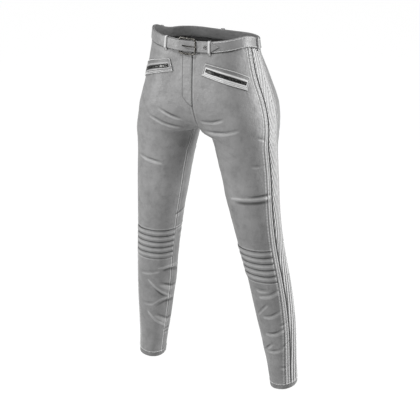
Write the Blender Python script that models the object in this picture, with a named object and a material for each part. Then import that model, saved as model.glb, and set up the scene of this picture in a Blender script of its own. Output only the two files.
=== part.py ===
"""Leather biker trousers, filled out as worn, with nobody in them.

Metres, +Z up, the front faces -Y, the wearer's left is +X. The origin is the
centre of the waist opening, 3 mm under the waistband's top edge in front.

The leather is a thin wall on one worked-out body surface. A point of that
surface is named by z, its level under the waist, and q, its place round the
wearer's left half: q = 0 on the front edge of the front panel (the centre front,
and below the crotch the inseam), q = 1 on the side, q = 2 on the centre back,
and below the crotch on the inseam again. The right half is its mirror image.
"""
import math

import bpy
import numpy as np
from mathutils import Matrix

# Leather, seams and lengths
LEATHER = 0.0015
SEAM_GAP = 0.0003
LAY_ON = 0.0009          # how far a piece that lies on a panel stands off its curve
TOP = 0.0
BAND_HEIGHT = 0.028      # waistband
BAND_THICK = 0.0022
KNEE_TOP = -0.552
KNEE_RIBS = 5
KNEE_PITCH = 0.0186
HEM_TOP = -0.970
HEM = -0.982
CROTCH = -0.243

# The body surface
# z                level of the section
# mid_x            where the front and the back stand out most
# outer_x          the widest point, at the side
# inner_x          the innermost point of the leg, 0 above the crotch
# front_y, back_y  how far the section reaches forward and back
# side_y           where along y the widest point lies
SECTION_COLUMNS = ("z", "mid_x", "outer_x", "inner_x", "front_y", "back_y", "side_y")
SECTIONS = (
    (0.012, 0.045, 0.1305, 0.000, -0.111, 0.074, -0.013),
    (-0.030, 0.050, 0.1345, 0.000, -0.114, 0.080, -0.013),
    (-0.070, 0.058, 0.1425, 0.000, -0.117, 0.093, -0.011),
    (-0.110, 0.068, 0.1530, 0.000, -0.119, 0.108, -0.007),
    (-0.150, 0.078, 0.1655, 0.000, -0.119, 0.121, -0.003),
    (-0.190, 0.088, 0.1765, 0.000, -0.117, 0.128, -0.004),
    (-0.225, 0.098, 0.1838, 0.000, -0.112, 0.120, -0.010),
    (-0.243, 0.1028, 0.1865, 0.000, -0.1078, 0.1095, -0.0155),
    (-0.2455, 0.1034, 0.1869, 0.024, -0.1071, 0.1078, -0.0163),
    (-0.250, 0.1045, 0.1873, 0.0295, -0.1058, 0.1045, -0.0177),
    (-0.258, 0.1065, 0.1882, 0.0325, -0.1035, 0.0990, -0.0193),
    (-0.268, 0.1088, 0.1890, 0.0350, -0.1010, 0.0922, -0.0195),
    (-0.290, 0.113, 0.190, 0.0380, -0.096, 0.080, -0.016),
    (-0.330, 0.119, 0.192, 0.046, -0.091, 0.069, -0.011),
    (-0.370, 0.125, 0.195, 0.055, -0.086, 0.065, -0.010),
    (-0.420, 0.131, 0.198, 0.064, -0.080, 0.062, -0.009),
    (-0.470, 0.138, 0.2015, 0.075, -0.072, 0.060, -0.006),
    (-0.520, 0.146, 0.206, 0.086, -0.063, 0.061, -0.001),
    (-0.570, 0.154, 0.2115, 0.0965, -0.053, 0.065, 0.006),
    (-0.620, 0.163, 0.2185, 0.1075, -0.043, 0.071, 0.014),
    (-0.680, 0.172, 0.226, 0.118, -0.032, 0.080, 0.024),
    (-0.740, 0.180, 0.232, 0.128, -0.022, 0.0865, 0.032),
    (-0.800, 0.188, 0.236, 0.140, -0.012, 0.0905, 0.039),
    (-0.860, 0.195, 0.238, 0.152, -0.003, 0.0915, 0.044),
    (-0.915, 0.201, 0.2395, 0.1625, 0.004, 0.090, 0.047),
    (-0.990, 0.209, 0.244, 0.174, 0.010, 0.088, 0.049),
)
FRONT_TURN = -0.150      # where the crotch curve starts, in front and behind
BACK_TURN = -0.090
TURN_ROUND = 2.2
TORSO_ROUND = 2.35       # superellipse powers
LEG_ROUND = 2.15
SEAM_FORWARD = 0.05      # inseam, ahead of the innermost point, as a share of the ring
WAIST_RISE = 0.003       # the waist edge: higher at the sides, lower behind
SIDE_RISE = 0.0115
BACK_FALL = 0.015
HEM_LEAN_X = 0.115       # the hems are square to the legs
HEM_LEAN_Y = 0.05
GRID_TOP, GRID_FOOT = 0.012, -0.990
GRID_ROWS, GRID_HALF = 405, 121

# Panels, as distances along the surface
FRONT_EDGE = -0.038      # from the side line: front edge of the side panel
NARROW_BAND = 0.016
RIBBED_BAND = 0.037
RIB_PITCH = 0.0078
RIB_HEIGHT = 0.0011
RIB_CLIMB = 0.052        # a rib ends this much higher behind than in front
RIB_LEVEL_OUT = 0.085
KNEE_HEIGHT = 0.0024
FLY_EDGE = 0.0130        # the closing edge, to the wearer's left of the centre
FLY_BACK = 0.0140        # the other edge of the placket
FLY_FOOT = -0.163
FLY_SHORT = 0.024

# Belt, loops and buckle; a = distance from the centre front to the wearer's left
BELT_WIDTH = 0.026
BELT_THICK = 0.0022
TIP, TIP_SHOULDER = 0.083, 0.061
# a, how far the strap's inner face stands off the waistband
STRAP_LIFT = ((0.083, 0.0030), (0.0200, 0.0030), (0.0080, 0.0036), (-0.0110, 0.0058),
              (-0.0225, 0.0063), (-0.0360, 0.0050), (-0.0850, 0.0004), (-0.1000, 0.0004))
UNDER_END = -0.0185
LOOP_WIDTH, LOOP_THICK, LOOP_TAIL = 0.008, 0.0014, 0.006
# name, a (None is the centre back), whether it ends on the ribs of the side panel
LOOPS = (("belt_loop_front_left", 0.0590, False), ("belt_loop_front_right", -0.0600, False),
         ("belt_loop_side_left", 0.2070, True), ("belt_loop_side_right", -0.2070, True),
         ("belt_loop_back", None, False))
FRAME_HALF_A, FRAME_HALF_H, FRAME_CORNER = 0.0230, 0.0190, 0.0070
FRAME_WIDE, FRAME_DEEP = 0.0044, 0.0026
BAR_OFF, FAR_OFF = 0.0044, 0.0069
# a, distance off the waistband, of the prong's middle
PRONG_PATH = ((-0.0184, 0.0038), (-0.0130, 0.0037), (-0.0090, 0.0048), (-0.0050, 0.0082),
              (-0.0010, 0.0099), (0.0100, 0.0100), (0.0230, 0.0097), (0.0285, 0.0086))
PRONG_THICK = 0.0021
PRONG_SLOT = (-0.0130, -0.0010, 0.0034)
STRAP_HOLE, STRAP_HOLE_SIZE = 0.0498, 0.0045

# Zip pockets, in the front panel's own flat coordinates
POCKET_S, POCKET_Z, POCKET_BOW = 0.1045, -0.0835, 0.0035
POCKET_SLOPE = math.radians(-16.7)
POCKET_LONG, POCKET_HIGH = 0.126, 0.030
SLOT_LONG, SLOT_HIGH, SLOT_DROP = 0.112, 0.0100, 0.0010
FRAME_THICK, LIP = 0.0012, 0.0010
TAPE_THICK, TAPE_PLAY = 0.0006, 0.0005
SLIDER_FROM_END = 0.009
SLIDER_LONG, SLIDER_WIDE, SLIDER_DEEP = 0.0085, 0.0066, 0.0016
BRIDGE_LONG, BRIDGE_WIDE, BRIDGE_THICK = 0.0064, 0.0022, 0.0010
BRIDGE_OPEN = 0.0019
PULL_LONG, PULL_WIDE, PULL_THICK = 0.0165, 0.0052, 0.0010
PULL_EYE_LONG, PULL_EYE_WIDE, PULL_BAR = 0.0034, 0.0030, 0.0011

# Colours (linear), roughness, metallic
FINISHES = {
    "leather": ((0.26, 0.26, 0.26), 0.55, 0.0),
    "edge_leather": ((0.20, 0.20, 0.20), 0.60, 0.0),
    "steel": ((0.45, 0.45, 0.45), 0.30, 1.0),
    "zip_tape": ((0.03, 0.03, 0.03), 0.85, 0.0),
}


def hermite(levels, values, z):
    """Smooth curve through values at falling levels; slopes from the neighbours."""
    t, v = -np.asarray(levels), np.asarray(values)
    slope = np.gradient(v, t)
    x = np.clip(-np.asarray(z, float), t[0], t[-1])
    i = np.clip(np.searchsorted(t, x, side="right") - 1, 0, len(t) - 2)
    h = t[i + 1] - t[i]
    a = (x - t[i]) / h
    return ((2 * a**3 - 3 * a**2 + 1) * v[i] + (a**3 - 2 * a**2 + a) * h * slope[i]
            + (3 * a**2 - 2 * a**3) * v[i + 1] + (a**3 - a**2) * h * slope[i + 1])


def ease(a):
    """0 below 0, 1 above 1, an S curve between."""
    a = np.clip(a, 0.0, 1.0)
    return a * a * (3.0 - 2.0 * a)


def section(z):
    """The section table read at level z."""
    table = np.array(SECTIONS)
    return {name: hermite(table[:, 0], table[:, k], z) for k, name in enumerate(SECTION_COLUMNS)}


def closing(z, turn):
    """How much of an inner quarter is left at level z: 1 from the crotch down."""
    power = TORSO_ROUND
    t = min(max((turn - z) / (turn - CROTCH), 0.0), 1.0)
    depth = (1.0 - t**TURN_ROUND) ** (1.0 / TURN_ROUND)
    return max((1.0 - depth**power) ** (1.0 / power), 0.08)


def quarter(power, share, mid, end, side_y, far_y, count):
    """A quarter superellipse from (mid, far_y) towards (end, side_y), cut at a share."""
    angle = np.linspace(0.0, math.asin(min(1.0, share ** (power / 2))), count)
    across, depth = np.sin(angle) ** (2 / power), np.cos(angle) ** (2 / power)
    x = mid + (end - mid) * across / share
    return np.stack([x, side_y + (far_y - side_y) * depth], -1)


def smooth_centre(points, inner_pair, z):
    """Fills the dent that a section cut off at x = 0 would have there."""
    step = points[inner_pair[1]] - points[inner_pair[0]]
    slope = np.clip(step[1] / max(step[0], 1e-6), -0.8, 0.8)
    reach = 0.04 * float(ease((z - CROTCH) / 0.05)) + 1e-4
    x = points[:, 0]
    points[:, 1] += np.where(x < reach, slope * reach / 2 * (1 - x / reach) ** 2, 0)


def half_ring(z, count=121):
    """The section at level z: points from the front edge round the side to the back
    edge, and the index of the side point."""
    s = section(z)
    power = TORSO_ROUND + (LEG_ROUND - TORSO_ROUND) * float(ease((-z - 0.15) / 0.15))
    inner = s["inner_x"] if z < CROTCH else 0.0
    mid, side_y = s["mid_x"], s["side_y"]
    front_in = quarter(power, closing(z, FRONT_TURN), mid, inner, side_y, s["front_y"], count)[::-1]
    front_out = quarter(power, 1.0, mid, s["outer_x"], side_y, s["front_y"], count)
    back_out = quarter(power, 1.0, mid, s["outer_x"], side_y, s["back_y"], count)[::-1]
    back_in = quarter(power, closing(z, BACK_TURN), mid, inner, side_y, s["back_y"], count)
    if z > CROTCH:
        smooth_centre(front_in, (0, 1), z)
        smooth_centre(back_in, (-1, -2), z)
    ring = np.concatenate([front_in, front_out[1:], back_out[1:], back_in[1:]])
    side = 2 * count - 2
    arc = along(ring)
    if z <= CROTCH:
        start = SEAM_FORWARD * arc[-1] * float(ease((CROTCH - z) / 0.08))
        where = np.linspace(0.0, arc[-1], len(ring)) + start
        where = np.where(where > arc[-1], where - arc[-1], where)
        ring = np.stack([np.interp(where, arc, ring[:, k]) for k in (0, 1)], -1)
        return ring, arc[side] - start
    return ring, arc[side]


def along(points):
    """Distance along a run of points."""
    return np.r_[0.0, np.cumsum(np.linalg.norm(np.diff(points, axis=0), axis=1))]


def body_grid():
    """Points of the left half, a row for each level and a column for each q."""
    levels = np.linspace(GRID_TOP, GRID_FOOT, GRID_ROWS)
    rings, arcs, fronts, backs = [], [], [], []
    for z in levels:
        ring, side = half_ring(z)
        arc = along(ring)
        rings.append(ring)
        arcs.append(arc)
        fronts.append(side)
        backs.append(arc[-1] - side)
    fronts, backs = np.array(fronts), np.array(backs)
    t = np.linspace(0.0, 1.0, GRID_HALF)
    points = np.zeros((GRID_ROWS, 2 * GRID_HALF - 1, 3))
    reach = np.zeros((GRID_ROWS, 2 * GRID_HALF - 1))
    for i, z in enumerate(levels):
        front = spread(t, fronts[i], plain_reach(levels, fronts, z))[::-1]
        back = spread(t, backs[i], plain_reach(levels, backs, z))
        reach[i] = np.r_[-front, back[1:]]
        for k in (0, 1):
            points[i, :, k] = np.interp(reach[i] + fronts[i], arcs[i], rings[i][:, k])
        points[i, :, 2] = z
    return levels, shape_edges(levels, points), reach


def plain_reach(levels, reaches, z):
    """The panel's width without the extra that turns under at the crotch."""
    high, low = -0.19, -0.33
    if z > high or z < low:
        return np.interp(-z, -levels, reaches)
    ends = np.interp((-high, -low), -levels, reaches)
    return min(np.interp(-z, -levels, reaches), np.interp(-z, (-high, -low), ends))


def spread(t, whole, plain):
    """Distances from the side line: even, with the crotch's extra near the far end."""
    return plain * t + (whole - plain) * t**4


def shape_edges(levels, points):
    """Lifts the waist at the sides, drops it behind, and leans the hems."""
    x, y = points[..., 0], points[..., 1]
    near_waist = ease((points[..., 2] + 0.10) / 0.07)
    rear = ease((y + 0.06) / 0.10)
    lift = WAIST_RISE + SIDE_RISE * np.clip(x / 0.12, 0, 1) ** 2 * (1 - 0.85 * rear)
    lift -= BACK_FALL * rear
    mid = section(levels)
    near_hem = ease((-levels - 0.60) / 0.35)[:, None]
    lean = HEM_LEAN_X * (x - mid["mid_x"][:, None]) + HEM_LEAN_Y * (y - mid["side_y"][:, None])
    points[..., 2] += near_waist * lift + near_hem * lean
    return points


LEVELS, GRID, REACH = body_grid()
Q_STEP = 1.0 / (GRID_HALF - 1)
Z_STEP = (GRID_TOP - GRID_FOOT) / (GRID_ROWS - 1)


def cell(z, q):
    """Grid corner and the shares inside it for levels z and places q."""
    fz = np.clip((GRID_TOP - z) / Z_STEP, 0, GRID_ROWS - 1.000001)
    fq = np.clip(q / Q_STEP, 0, 2 * (GRID_HALF - 1) - 0.000001)
    i, j = fz.astype(int), fq.astype(int)
    return i, j, fz - i, fq - j


def surface(z, q):
    """Points of the body at (z, q). Past the centre line above the crotch the surface
    goes on as its mirror image, and below it round the leg."""
    z, q = np.broadcast_arrays(np.asarray(z, float), np.asarray(q, float))
    torso = z > CROTCH
    over = (q < 0) | (q > 2)
    mirrored = over & torso
    folded = np.where(q < 0, -q, np.where(q > 2, 4 - q, q))
    wrapped = np.where(q < 0, q + 2, np.where(q > 2, q - 2, q))
    i, j, a, b = cell(z, np.where(torso, folded, wrapped))
    a, b = a[..., None], b[..., None]
    p = ((GRID[i, j] * (1 - b) + GRID[i, j + 1] * b) * (1 - a)
         + (GRID[i + 1, j] * (1 - b) + GRID[i + 1, j + 1] * b) * a)
    p[..., 0] = np.where(mirrored, -p[..., 0], p[..., 0])
    return p


def outward(z, q):
    """Unit normals of the body, pointing out of the garment."""
    dz, dq = 0.004, 0.02
    round_it = surface(z, np.asarray(q) + dq) - surface(z, np.asarray(q) - dq)
    down_it = surface(np.asarray(z) - dz, q) - surface(np.asarray(z) + dz, q)
    n = np.cross(down_it, round_it)
    return n / np.linalg.norm(n, axis=-1, keepdims=True)


def body(z, q, off=0.0):
    """Points of the left half, moved out by off."""
    return surface(z, q) + np.asarray(off, float)[..., None] * outward(z, q)


def q_from_side(z, w):
    """q at a distance w from the side line, positive towards the back."""
    z, w = np.broadcast_arrays(np.asarray(z, float), np.asarray(w, float))
    out = np.empty(z.shape)
    q = np.linspace(0.0, 2.0, 2 * GRID_HALF - 1)
    for index in np.ndindex(z.shape):
        f = min(max((GRID_TOP - z[index]) / Z_STEP, 0), GRID_ROWS - 1.000001)
        i = int(f)
        row = REACH[i] * (1 - f + i) + REACH[i + 1] * (f - i)
        out[index] = np.interp(w[index], row, q)
    return out


def edge_reach(z, column):
    """Distance from the side line to the front edge (column 0) or the back edge (-1)."""
    return np.abs(np.interp(-np.asarray(z, float), -LEVELS, REACH[:, column]))


def q_from_front(z, s):
    """q at a distance s from the front edge; past it, s is negative."""
    s = np.asarray(s, float)
    return np.sign(s) * q_from_side(z, np.abs(s) - edge_reach(z, 0))


def q_from_back(z, s):
    """q at a distance s from the back edge."""
    return q_from_side(z, edge_reach(z, -1) - np.asarray(s, float))


# Solids

def material(name):
    """One material for each finish, made when first asked for."""
    found = bpy.data.materials.get(name)
    if found:
        return found
    colour, roughness, metallic = FINISHES[name]
    made = bpy.data.materials.new(name)
    made.use_nodes = True
    shader = made.node_tree.nodes["Principled BSDF"]
    shader.inputs["Base Color"].default_value = (*colour, 1.0)
    shader.inputs["Roughness"].default_value = roughness
    shader.inputs["Metallic"].default_value = metallic
    return made


def add_object(name, points, faces, finish, parent=None):
    """A mesh object from points and faces, smooth but for its edges."""
    mesh = bpy.data.meshes.new(name)
    mesh.from_pydata([tuple(map(float, p)) for p in points], [], faces)
    mesh.validate()
    mesh.update()
    mesh.shade_smooth()
    mesh.set_sharp_from_angle(angle=math.radians(40))
    made = bpy.data.objects.new(name, mesh)
    bpy.context.scene.collection.objects.link(made)
    made.data.materials.append(material(finish))
    if parent is not None:
        made.parent = parent
    return made


def grid_faces(ids, wrap=False):
    """Quads over a grid of point numbers."""
    right = np.roll(ids, -1, axis=1) if wrap else ids[:, 1:]
    left = ids if wrap else ids[:, :-1]
    quads = np.stack([left[:-1], left[1:], right[1:], right[:-1]], -1)
    return [tuple(q) for q in quads.reshape(-1, 4)]


def stitch(a, a_keys, b, b_keys):
    """Triangles between two runs of points, walked together by their keys."""
    faces = []
    i = j = 0
    while i < len(a) - 1 or j < len(b) - 1:
        if j == len(b) - 1 or (i < len(a) - 1 and a_keys[i + 1] <= b_keys[j + 1]):
            faces.append((a[i], b[j], a[i + 1]))
            i += 1
        else:
            faces.append((a[i], b[j], b[j + 1]))
            j += 1
    return faces


def turned(faces):
    """The same faces seen from the other side."""
    return [tuple(reversed(f)) for f in faces]


def mirror(points, faces, side):
    """The left half's points and faces, or their mirror image for the right."""
    if side > 0:
        return points, faces
    return points * np.array((-1.0, 1.0, 1.0)), turned(faces)


def wall_solid(outer, inner, outer_keys=None, inner_keys=None):
    """Points and faces of the closed wall between two grids that may differ in rows;
    the keys then say how far down each row's two ends lie."""
    rows, cols = outer.shape[:2]
    inner_rows = inner.shape[0]
    out_ids = np.arange(rows * cols).reshape(rows, cols)
    in_ids = rows * cols + np.arange(inner_rows * cols).reshape(inner_rows, cols)
    faces = grid_faces(out_ids) + turned(grid_faces(in_ids))
    down_out = np.tile(np.arange(rows), (2, 1)).T if outer_keys is None else outer_keys
    down_in = np.tile(np.arange(inner_rows), (2, 1)).T if inner_keys is None else inner_keys
    faces += stitch(out_ids[:, 0], down_out[:, 0], in_ids[:, 0], down_in[:, 0])
    faces += stitch(out_ids[::-1, -1], -down_out[::-1, 1], in_ids[::-1, -1], -down_in[::-1, 1])
    for k, (a, b) in ((0, (out_ids[0], in_ids[0])), (1, (out_ids[-1], in_ids[-1]))):
        rim = [(a[c], a[c + 1], b[c + 1], b[c]) for c in range(cols - 1)]
        faces += rim if k == 0 else turned(rim)
    points = np.concatenate([outer.reshape(-1, 3), inner.reshape(-1, 3)])
    return points, faces


def panel(name, z, q, side, relief=0.0, inner_rows=None, finish="leather", off=0.0,
          thick=LEATHER):
    """A leather wall over the places (z, q); relief raises its outer points. Where
    inner_rows gives fewer rows of its own, the inside is plain and the two long edges
    run straight between those rows, as the neighbours' edges do."""
    outer = body(z, q, np.zeros(z.shape) + off + relief)
    keys = (None, None)
    if inner_rows is None:
        inner = body(z, q, np.full(z.shape, off - thick))
    else:
        zi, qi = inner_rows
        inner = body(zi, qi, np.full(zi.shape, off - thick))
        keys = (-z[:, (0, -1)], -zi[:, (0, -1)])
        for column in (0, -1):
            outer[:, column] = straight_edge(z[:, column], relief[:, column],
                                             zi[:, column], qi[:, column])
    points, faces = mirror(*wall_solid(outer, inner, *keys), side)
    return add_object(name, points, faces, finish)


def straight_edge(z, relief, rows, row_q):
    """Points at levels z on the straight pieces between (rows, row_q), moved out."""
    base, out = body(rows, row_q, np.zeros(rows.shape)), outward(rows, row_q)
    read = [[np.interp(-z, -rows, values[:, k]) for k in range(3)] for values in (base, out)]
    return np.stack(read[0], -1) + relief[:, None] * np.stack(read[1], -1)


def panel_rows():
    """The levels of the long panels' rows: from the band to the knee, over the knee's
    grooves and on to the hem. They are closer where the legs part."""
    thigh = np.r_[np.linspace(TOP - BAND_HEIGHT - SEAM_GAP, -0.215, 10),
                  np.linspace(-0.215, CROTCH, 5)[1:],
                  CROTCH - 0.055 * np.linspace(0.0, 1.0, 6)[1:] ** 2,
                  np.linspace(CROTCH - 0.055, KNEE_TOP, 11)[1:]]
    grooves = KNEE_TOP - KNEE_PITCH * np.arange(1, KNEE_RIBS + 1)
    shin = np.linspace(grooves[-1], HEM_TOP + SEAM_GAP, 14)[1:]
    return thigh, grooves, shin


def between(z, q_a, q_b, cols):
    """A grid of q from q_a to q_b, one row for each level."""
    t = np.linspace(0.0, 1.0, cols)
    return q_a[:, None] * (1 - t) + q_b[:, None] * t, np.repeat(z[:, None], cols, axis=1)


def fly_seam(z):
    """How far the front seam lies to the wearer's left of the centre."""
    drift = 0.0045 * ease((-z - 0.15) / 0.05)
    fade = 1.0 - ease((-z - 0.212) / (-CROTCH - 0.212))
    return np.where(z > CROTCH, (FLY_EDGE + drift) * fade, 0.0)


def front_edges(z, side):
    """q of the front panels' two edges."""
    inner = side * fly_seam(z) + SEAM_GAP / 2
    return q_from_front(z, inner), q_from_side(z, np.full(z.shape, FRONT_EDGE - SEAM_GAP / 2))


def make_front(side, word):
    """Thigh, ribbed knee and shin of one front."""
    thigh, grooves, shin = panel_rows()
    z = np.r_[thigh[:-1], KNEE_TOP + SEAM_GAP]
    q, zz = between(z, *front_edges(z, side), 11)
    panel("thigh_front_" + word, zz, q, side)

    profile = ((0.0, 0.0), (0.14, 0.85), (0.42, 1.0), (0.78, 0.75))
    shares = [k + f for k in range(KNEE_RIBS) for f, _ in profile] + [KNEE_RIBS]
    height = [h for _ in range(KNEE_RIBS) for _, h in profile] + [0.0]
    z = KNEE_TOP - np.array(shares) * KNEE_PITCH
    q, zz = between(z, *front_edges(z, side), 8)
    relief = np.array(height)[:, None] * KNEE_HEIGHT * np.ones(8)
    plain = np.r_[KNEE_TOP, grooves]
    qi, zi = between(plain, *front_edges(plain, side), 8)
    panel("knee_ribs_" + word, zz, q, side, relief, (zi, qi))

    z = np.r_[grooves[-1] - SEAM_GAP, shin]
    q, zz = between(z, *front_edges(z, side), 8)
    panel("shin_front_" + word, zz, q, side)


def make_back(side, word):
    """One back, waist to hem, with a seam behind the knee."""
    thigh, grooves, shin = panel_rows()
    rear = FRONT_EDGE + 2 * NARROW_BAND + RIBBED_BAND
    for name, z in (("back_thigh_", np.r_[thigh[:-1], KNEE_TOP + SEAM_GAP]),
                    ("back_shin_", np.r_[KNEE_TOP, grooves, shin])):
        first = q_from_side(z, np.full(z.shape, rear + SEAM_GAP / 2))
        last = q_from_back(z, np.full(z.shape, SEAM_GAP / 2))
        q, zz = between(z, first, last, 11)
        panel(name + word, zz, q, side)


def make_side(side, word):
    """The side panel: a narrow band, a band of slanting ribs, a narrow band."""
    z = np.concatenate(panel_rows())
    start = FRONT_EDGE
    for name, width in (("side_band_front_", NARROW_BAND), ("side_ribs_", RIBBED_BAND),
                        ("side_band_rear_", NARROW_BAND)):
        edges = (start + SEAM_GAP / 2, start + width - SEAM_GAP / 2)
        start += width
        if name == "side_ribs_":
            make_ribs(name + word, z, edges, side)
            continue
        q, zz = between(z, *(q_from_side(z, np.full(z.shape, e)) for e in edges), 2)
        panel(name + word, zz, q, side)


def make_ribs(name, z, edges, side):
    """The slanting ribs: a row on each crest and each groove, level at both ends."""
    top, foot = z[0], z[-1]
    count = int(round((top - foot) / RIB_PITCH))
    rows = np.linspace(top, foot, 2 * count + 1)
    share = np.linspace(0.0, 1.0, 3)
    slant = ease((top - rows) / RIB_LEVEL_OUT) * ease((rows - foot) / RIB_LEVEL_OUT)
    zz = rows[:, None] + RIB_CLIMB * slant[:, None] * (share - 0.5)
    w = edges[0] + (edges[1] - edges[0]) * share
    q = q_from_side(zz, w)
    relief = RIB_HEIGHT * (np.arange(len(rows)) % 2)[:, None] * np.ones(3)
    zi = np.repeat(z[:, None], 3, axis=1)
    panel(name, zz, q, side, relief, (zi, q_from_side(zi, w)))


def make_hem(side, word):
    """The turned-up hem, a ring round the ankle."""
    q = np.linspace(0.0, 2.0, 25)[:-1]
    rows = []
    for z, off in ((HEM_TOP, 0.0004), (HEM, 0.0004), (HEM, -0.0020), (HEM_TOP, -0.0020)):
        rows.append(body(np.full(q.shape, z), q, np.full(q.shape, off)))
    points, faces = mirror(*ring_solid(np.array(rows)), side)
    add_object("hem_band_" + word, points, faces, "leather")


def ring_solid(rows):
    """A closed ring from the corner rows of its section."""
    count, cols = rows.shape[:2]
    ids = np.arange(count * cols).reshape(count, cols)
    ids = np.concatenate([ids, ids[:1]])
    return rows.reshape(-1, 3), grid_faces(ids, wrap=True)


# Waistband, belt and buckle

MID_BAND = TOP - BAND_HEIGHT / 2
HALF_WAIST = float(edge_reach(MID_BAND, 0) + edge_reach(MID_BAND, -1))
WAIST_FACETS = 56
WAIST_STEP = 2 * HALF_WAIST / WAIST_FACETS


def at_waist(a, h, off):
    """The point at a round the waist from the centre front, h above the belt's middle
    and off the waistband's face; a may pass the centre back."""
    a, h, off = np.broadcast_arrays(*(np.asarray(v, float) for v in (a, h, off)))
    lap = (a + HALF_WAIST) % (2 * HALF_WAIST) - HALF_WAIST
    q = q_from_front(np.full(a.shape, MID_BAND), np.abs(lap))
    p = body(MID_BAND + h, q, off)
    p[..., 0] *= np.where(lap < 0, -1.0, 1.0)
    return p


def make_waistband():
    """The folded band that the belt lies on, closed at the front."""
    a = (np.arange(WAIST_FACETS) + 0.5) * WAIST_STEP - HALF_WAIST
    h = BAND_HEIGHT / 2
    corners = ((h, 0.0), (0.0, 0.0), (-h, 0.0), (-h, -BAND_THICK), (0.0, -BAND_THICK),
               (h, -BAND_THICK))
    rows = [at_waist(a, height, off) for height, off in corners]
    add_object("waistband", *ring_solid(np.array(rows)), "leather")


def strap_lift(a):
    """How far the strap's inner face stands off the band, on its upper lap."""
    return hermite([row[0] for row in STRAP_LIFT], [row[1] for row in STRAP_LIFT], a)


def make_strap():
    """The belt: one strap from its tip, right round and back under itself."""
    # past the buckle its facets are the waistband's own, so that it lies flat on it
    facets = (0.5 - np.arange(2, WAIST_FACETS + 10)) * WAIST_STEP
    facets = facets[facets > UNDER_END - 2 * HALF_WAIST + 0.004]
    near = np.r_[np.linspace(TIP, TIP_SHOULDER, 4), np.linspace(0.054, -0.030, 13),
                 facets[(facets < -0.036) & (facets > STRAP_LIFT[-1][0])]]
    far = np.r_[facets[facets <= STRAP_LIFT[-1][0]], UNDER_END - 2 * HALF_WAIST]
    a = np.r_[near, far]
    half = np.clip((TIP - a) / (TIP - TIP_SHOULDER), 0.05, 1.0) * BELT_WIDTH / 2
    low = np.r_[strap_lift(near), np.full(far.shape, STRAP_LIFT[-1][1])]
    share = np.array((1.0, 0.0, -1.0))
    h = half[:, None] * share
    outer = at_waist(a[:, None], h, (low + BELT_THICK)[:, None])
    inner = at_waist(a[:, None], h, low[:, None])
    points, faces = wall_solid(outer, inner)
    strap = add_object("belt_strap", points, faces, "edge_leather")
    slot_a, slot_b, slot_wide = PRONG_SLOT
    cut_hole(strap, "prong_slot", (slot_a + slot_b) / 2, slot_b - slot_a, slot_wide, 0.006)
    cut_hole(strap, "spare_hole", STRAP_HOLE, STRAP_HOLE_SIZE, STRAP_HOLE_SIZE, BELT_THICK + 0.0005)


def cut_hole(strap, name, a, long, wide, tall):
    """Cuts a round-ended hole through the strap's upper lap."""
    frame = waist_frame(a, 0.0, float(strap_lift(a)) + BELT_THICK / 2)
    count = 6
    turn = np.linspace(-math.pi / 2, math.pi / 2, count)
    half = (long - wide) / 2
    x = np.r_[half + np.cos(turn) * wide / 2, -half - np.cos(turn) * wide / 2]
    y = np.r_[np.sin(turn) * wide / 2, -np.sin(turn) * wide / 2]
    cutter = prism(name, np.stack([x, y], -1), tall, frame)
    cutter.hide_render = True
    cutter.display_type = "WIRE"
    cut = strap.modifiers.new(name, "BOOLEAN")
    cut.operation = "DIFFERENCE"
    cut.object = cutter


def waist_frame(a, h, off):
    """A flat frame at a place on the waist: x to the wearer's left, y up, z out."""
    middle = at_waist(a, h, off)
    x = at_waist(a + 0.004, h, off) - at_waist(a - 0.004, h, off)
    return flat_frame(middle, x, at_waist(a, h, off + 0.004) - middle)


def flat_frame(middle, x, out):
    """A right-handed frame from a middle, its x direction and its outward direction."""
    z = out / np.linalg.norm(out)
    x = x - z * float(x @ z)
    x = x / np.linalg.norm(x)
    frame = np.eye(4)
    frame[:3, 0], frame[:3, 1], frame[:3, 2], frame[:3, 3] = x, np.cross(z, x), z, middle
    return frame


def into(frame, points):
    """Points of a flat frame, in the world."""
    return np.asarray(points, float) @ frame[:3, :3].T + frame[:3, 3]


def prism(name, outline, tall, frame, finish="steel"):
    """A plate of a given outline (running anticlockwise), tall, centred on its frame."""
    count = len(outline)
    low = np.c_[outline, np.full(count, -tall / 2)]
    high = np.c_[outline, np.full(count, tall / 2)]
    faces = [tuple(reversed(range(count))), tuple(range(count, 2 * count))]
    faces += [(k, (k + 1) % count, count + (k + 1) % count, count + k) for k in range(count)]
    return add_object(name, into(frame, np.r_[low, high]), faces, finish)


def offset_path(path, thick):
    """A run of points moved to its left by thick, with mitred corners."""
    step = np.diff(path, axis=0)
    step /= np.linalg.norm(step, axis=1, keepdims=True)
    left = np.stack([-step[:, 1], step[:, 0]], -1)
    joint = np.r_[left[:1], left[:-1] + left[1:], left[-1:]]
    joint /= np.linalg.norm(joint, axis=1, keepdims=True)
    spread_out = np.r_[1.0, 1.0 / np.sqrt((1 + (left[:-1] * left[1:]).sum(1)) / 2), 1.0]
    return path + joint * (thick * spread_out)[:, None]


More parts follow.
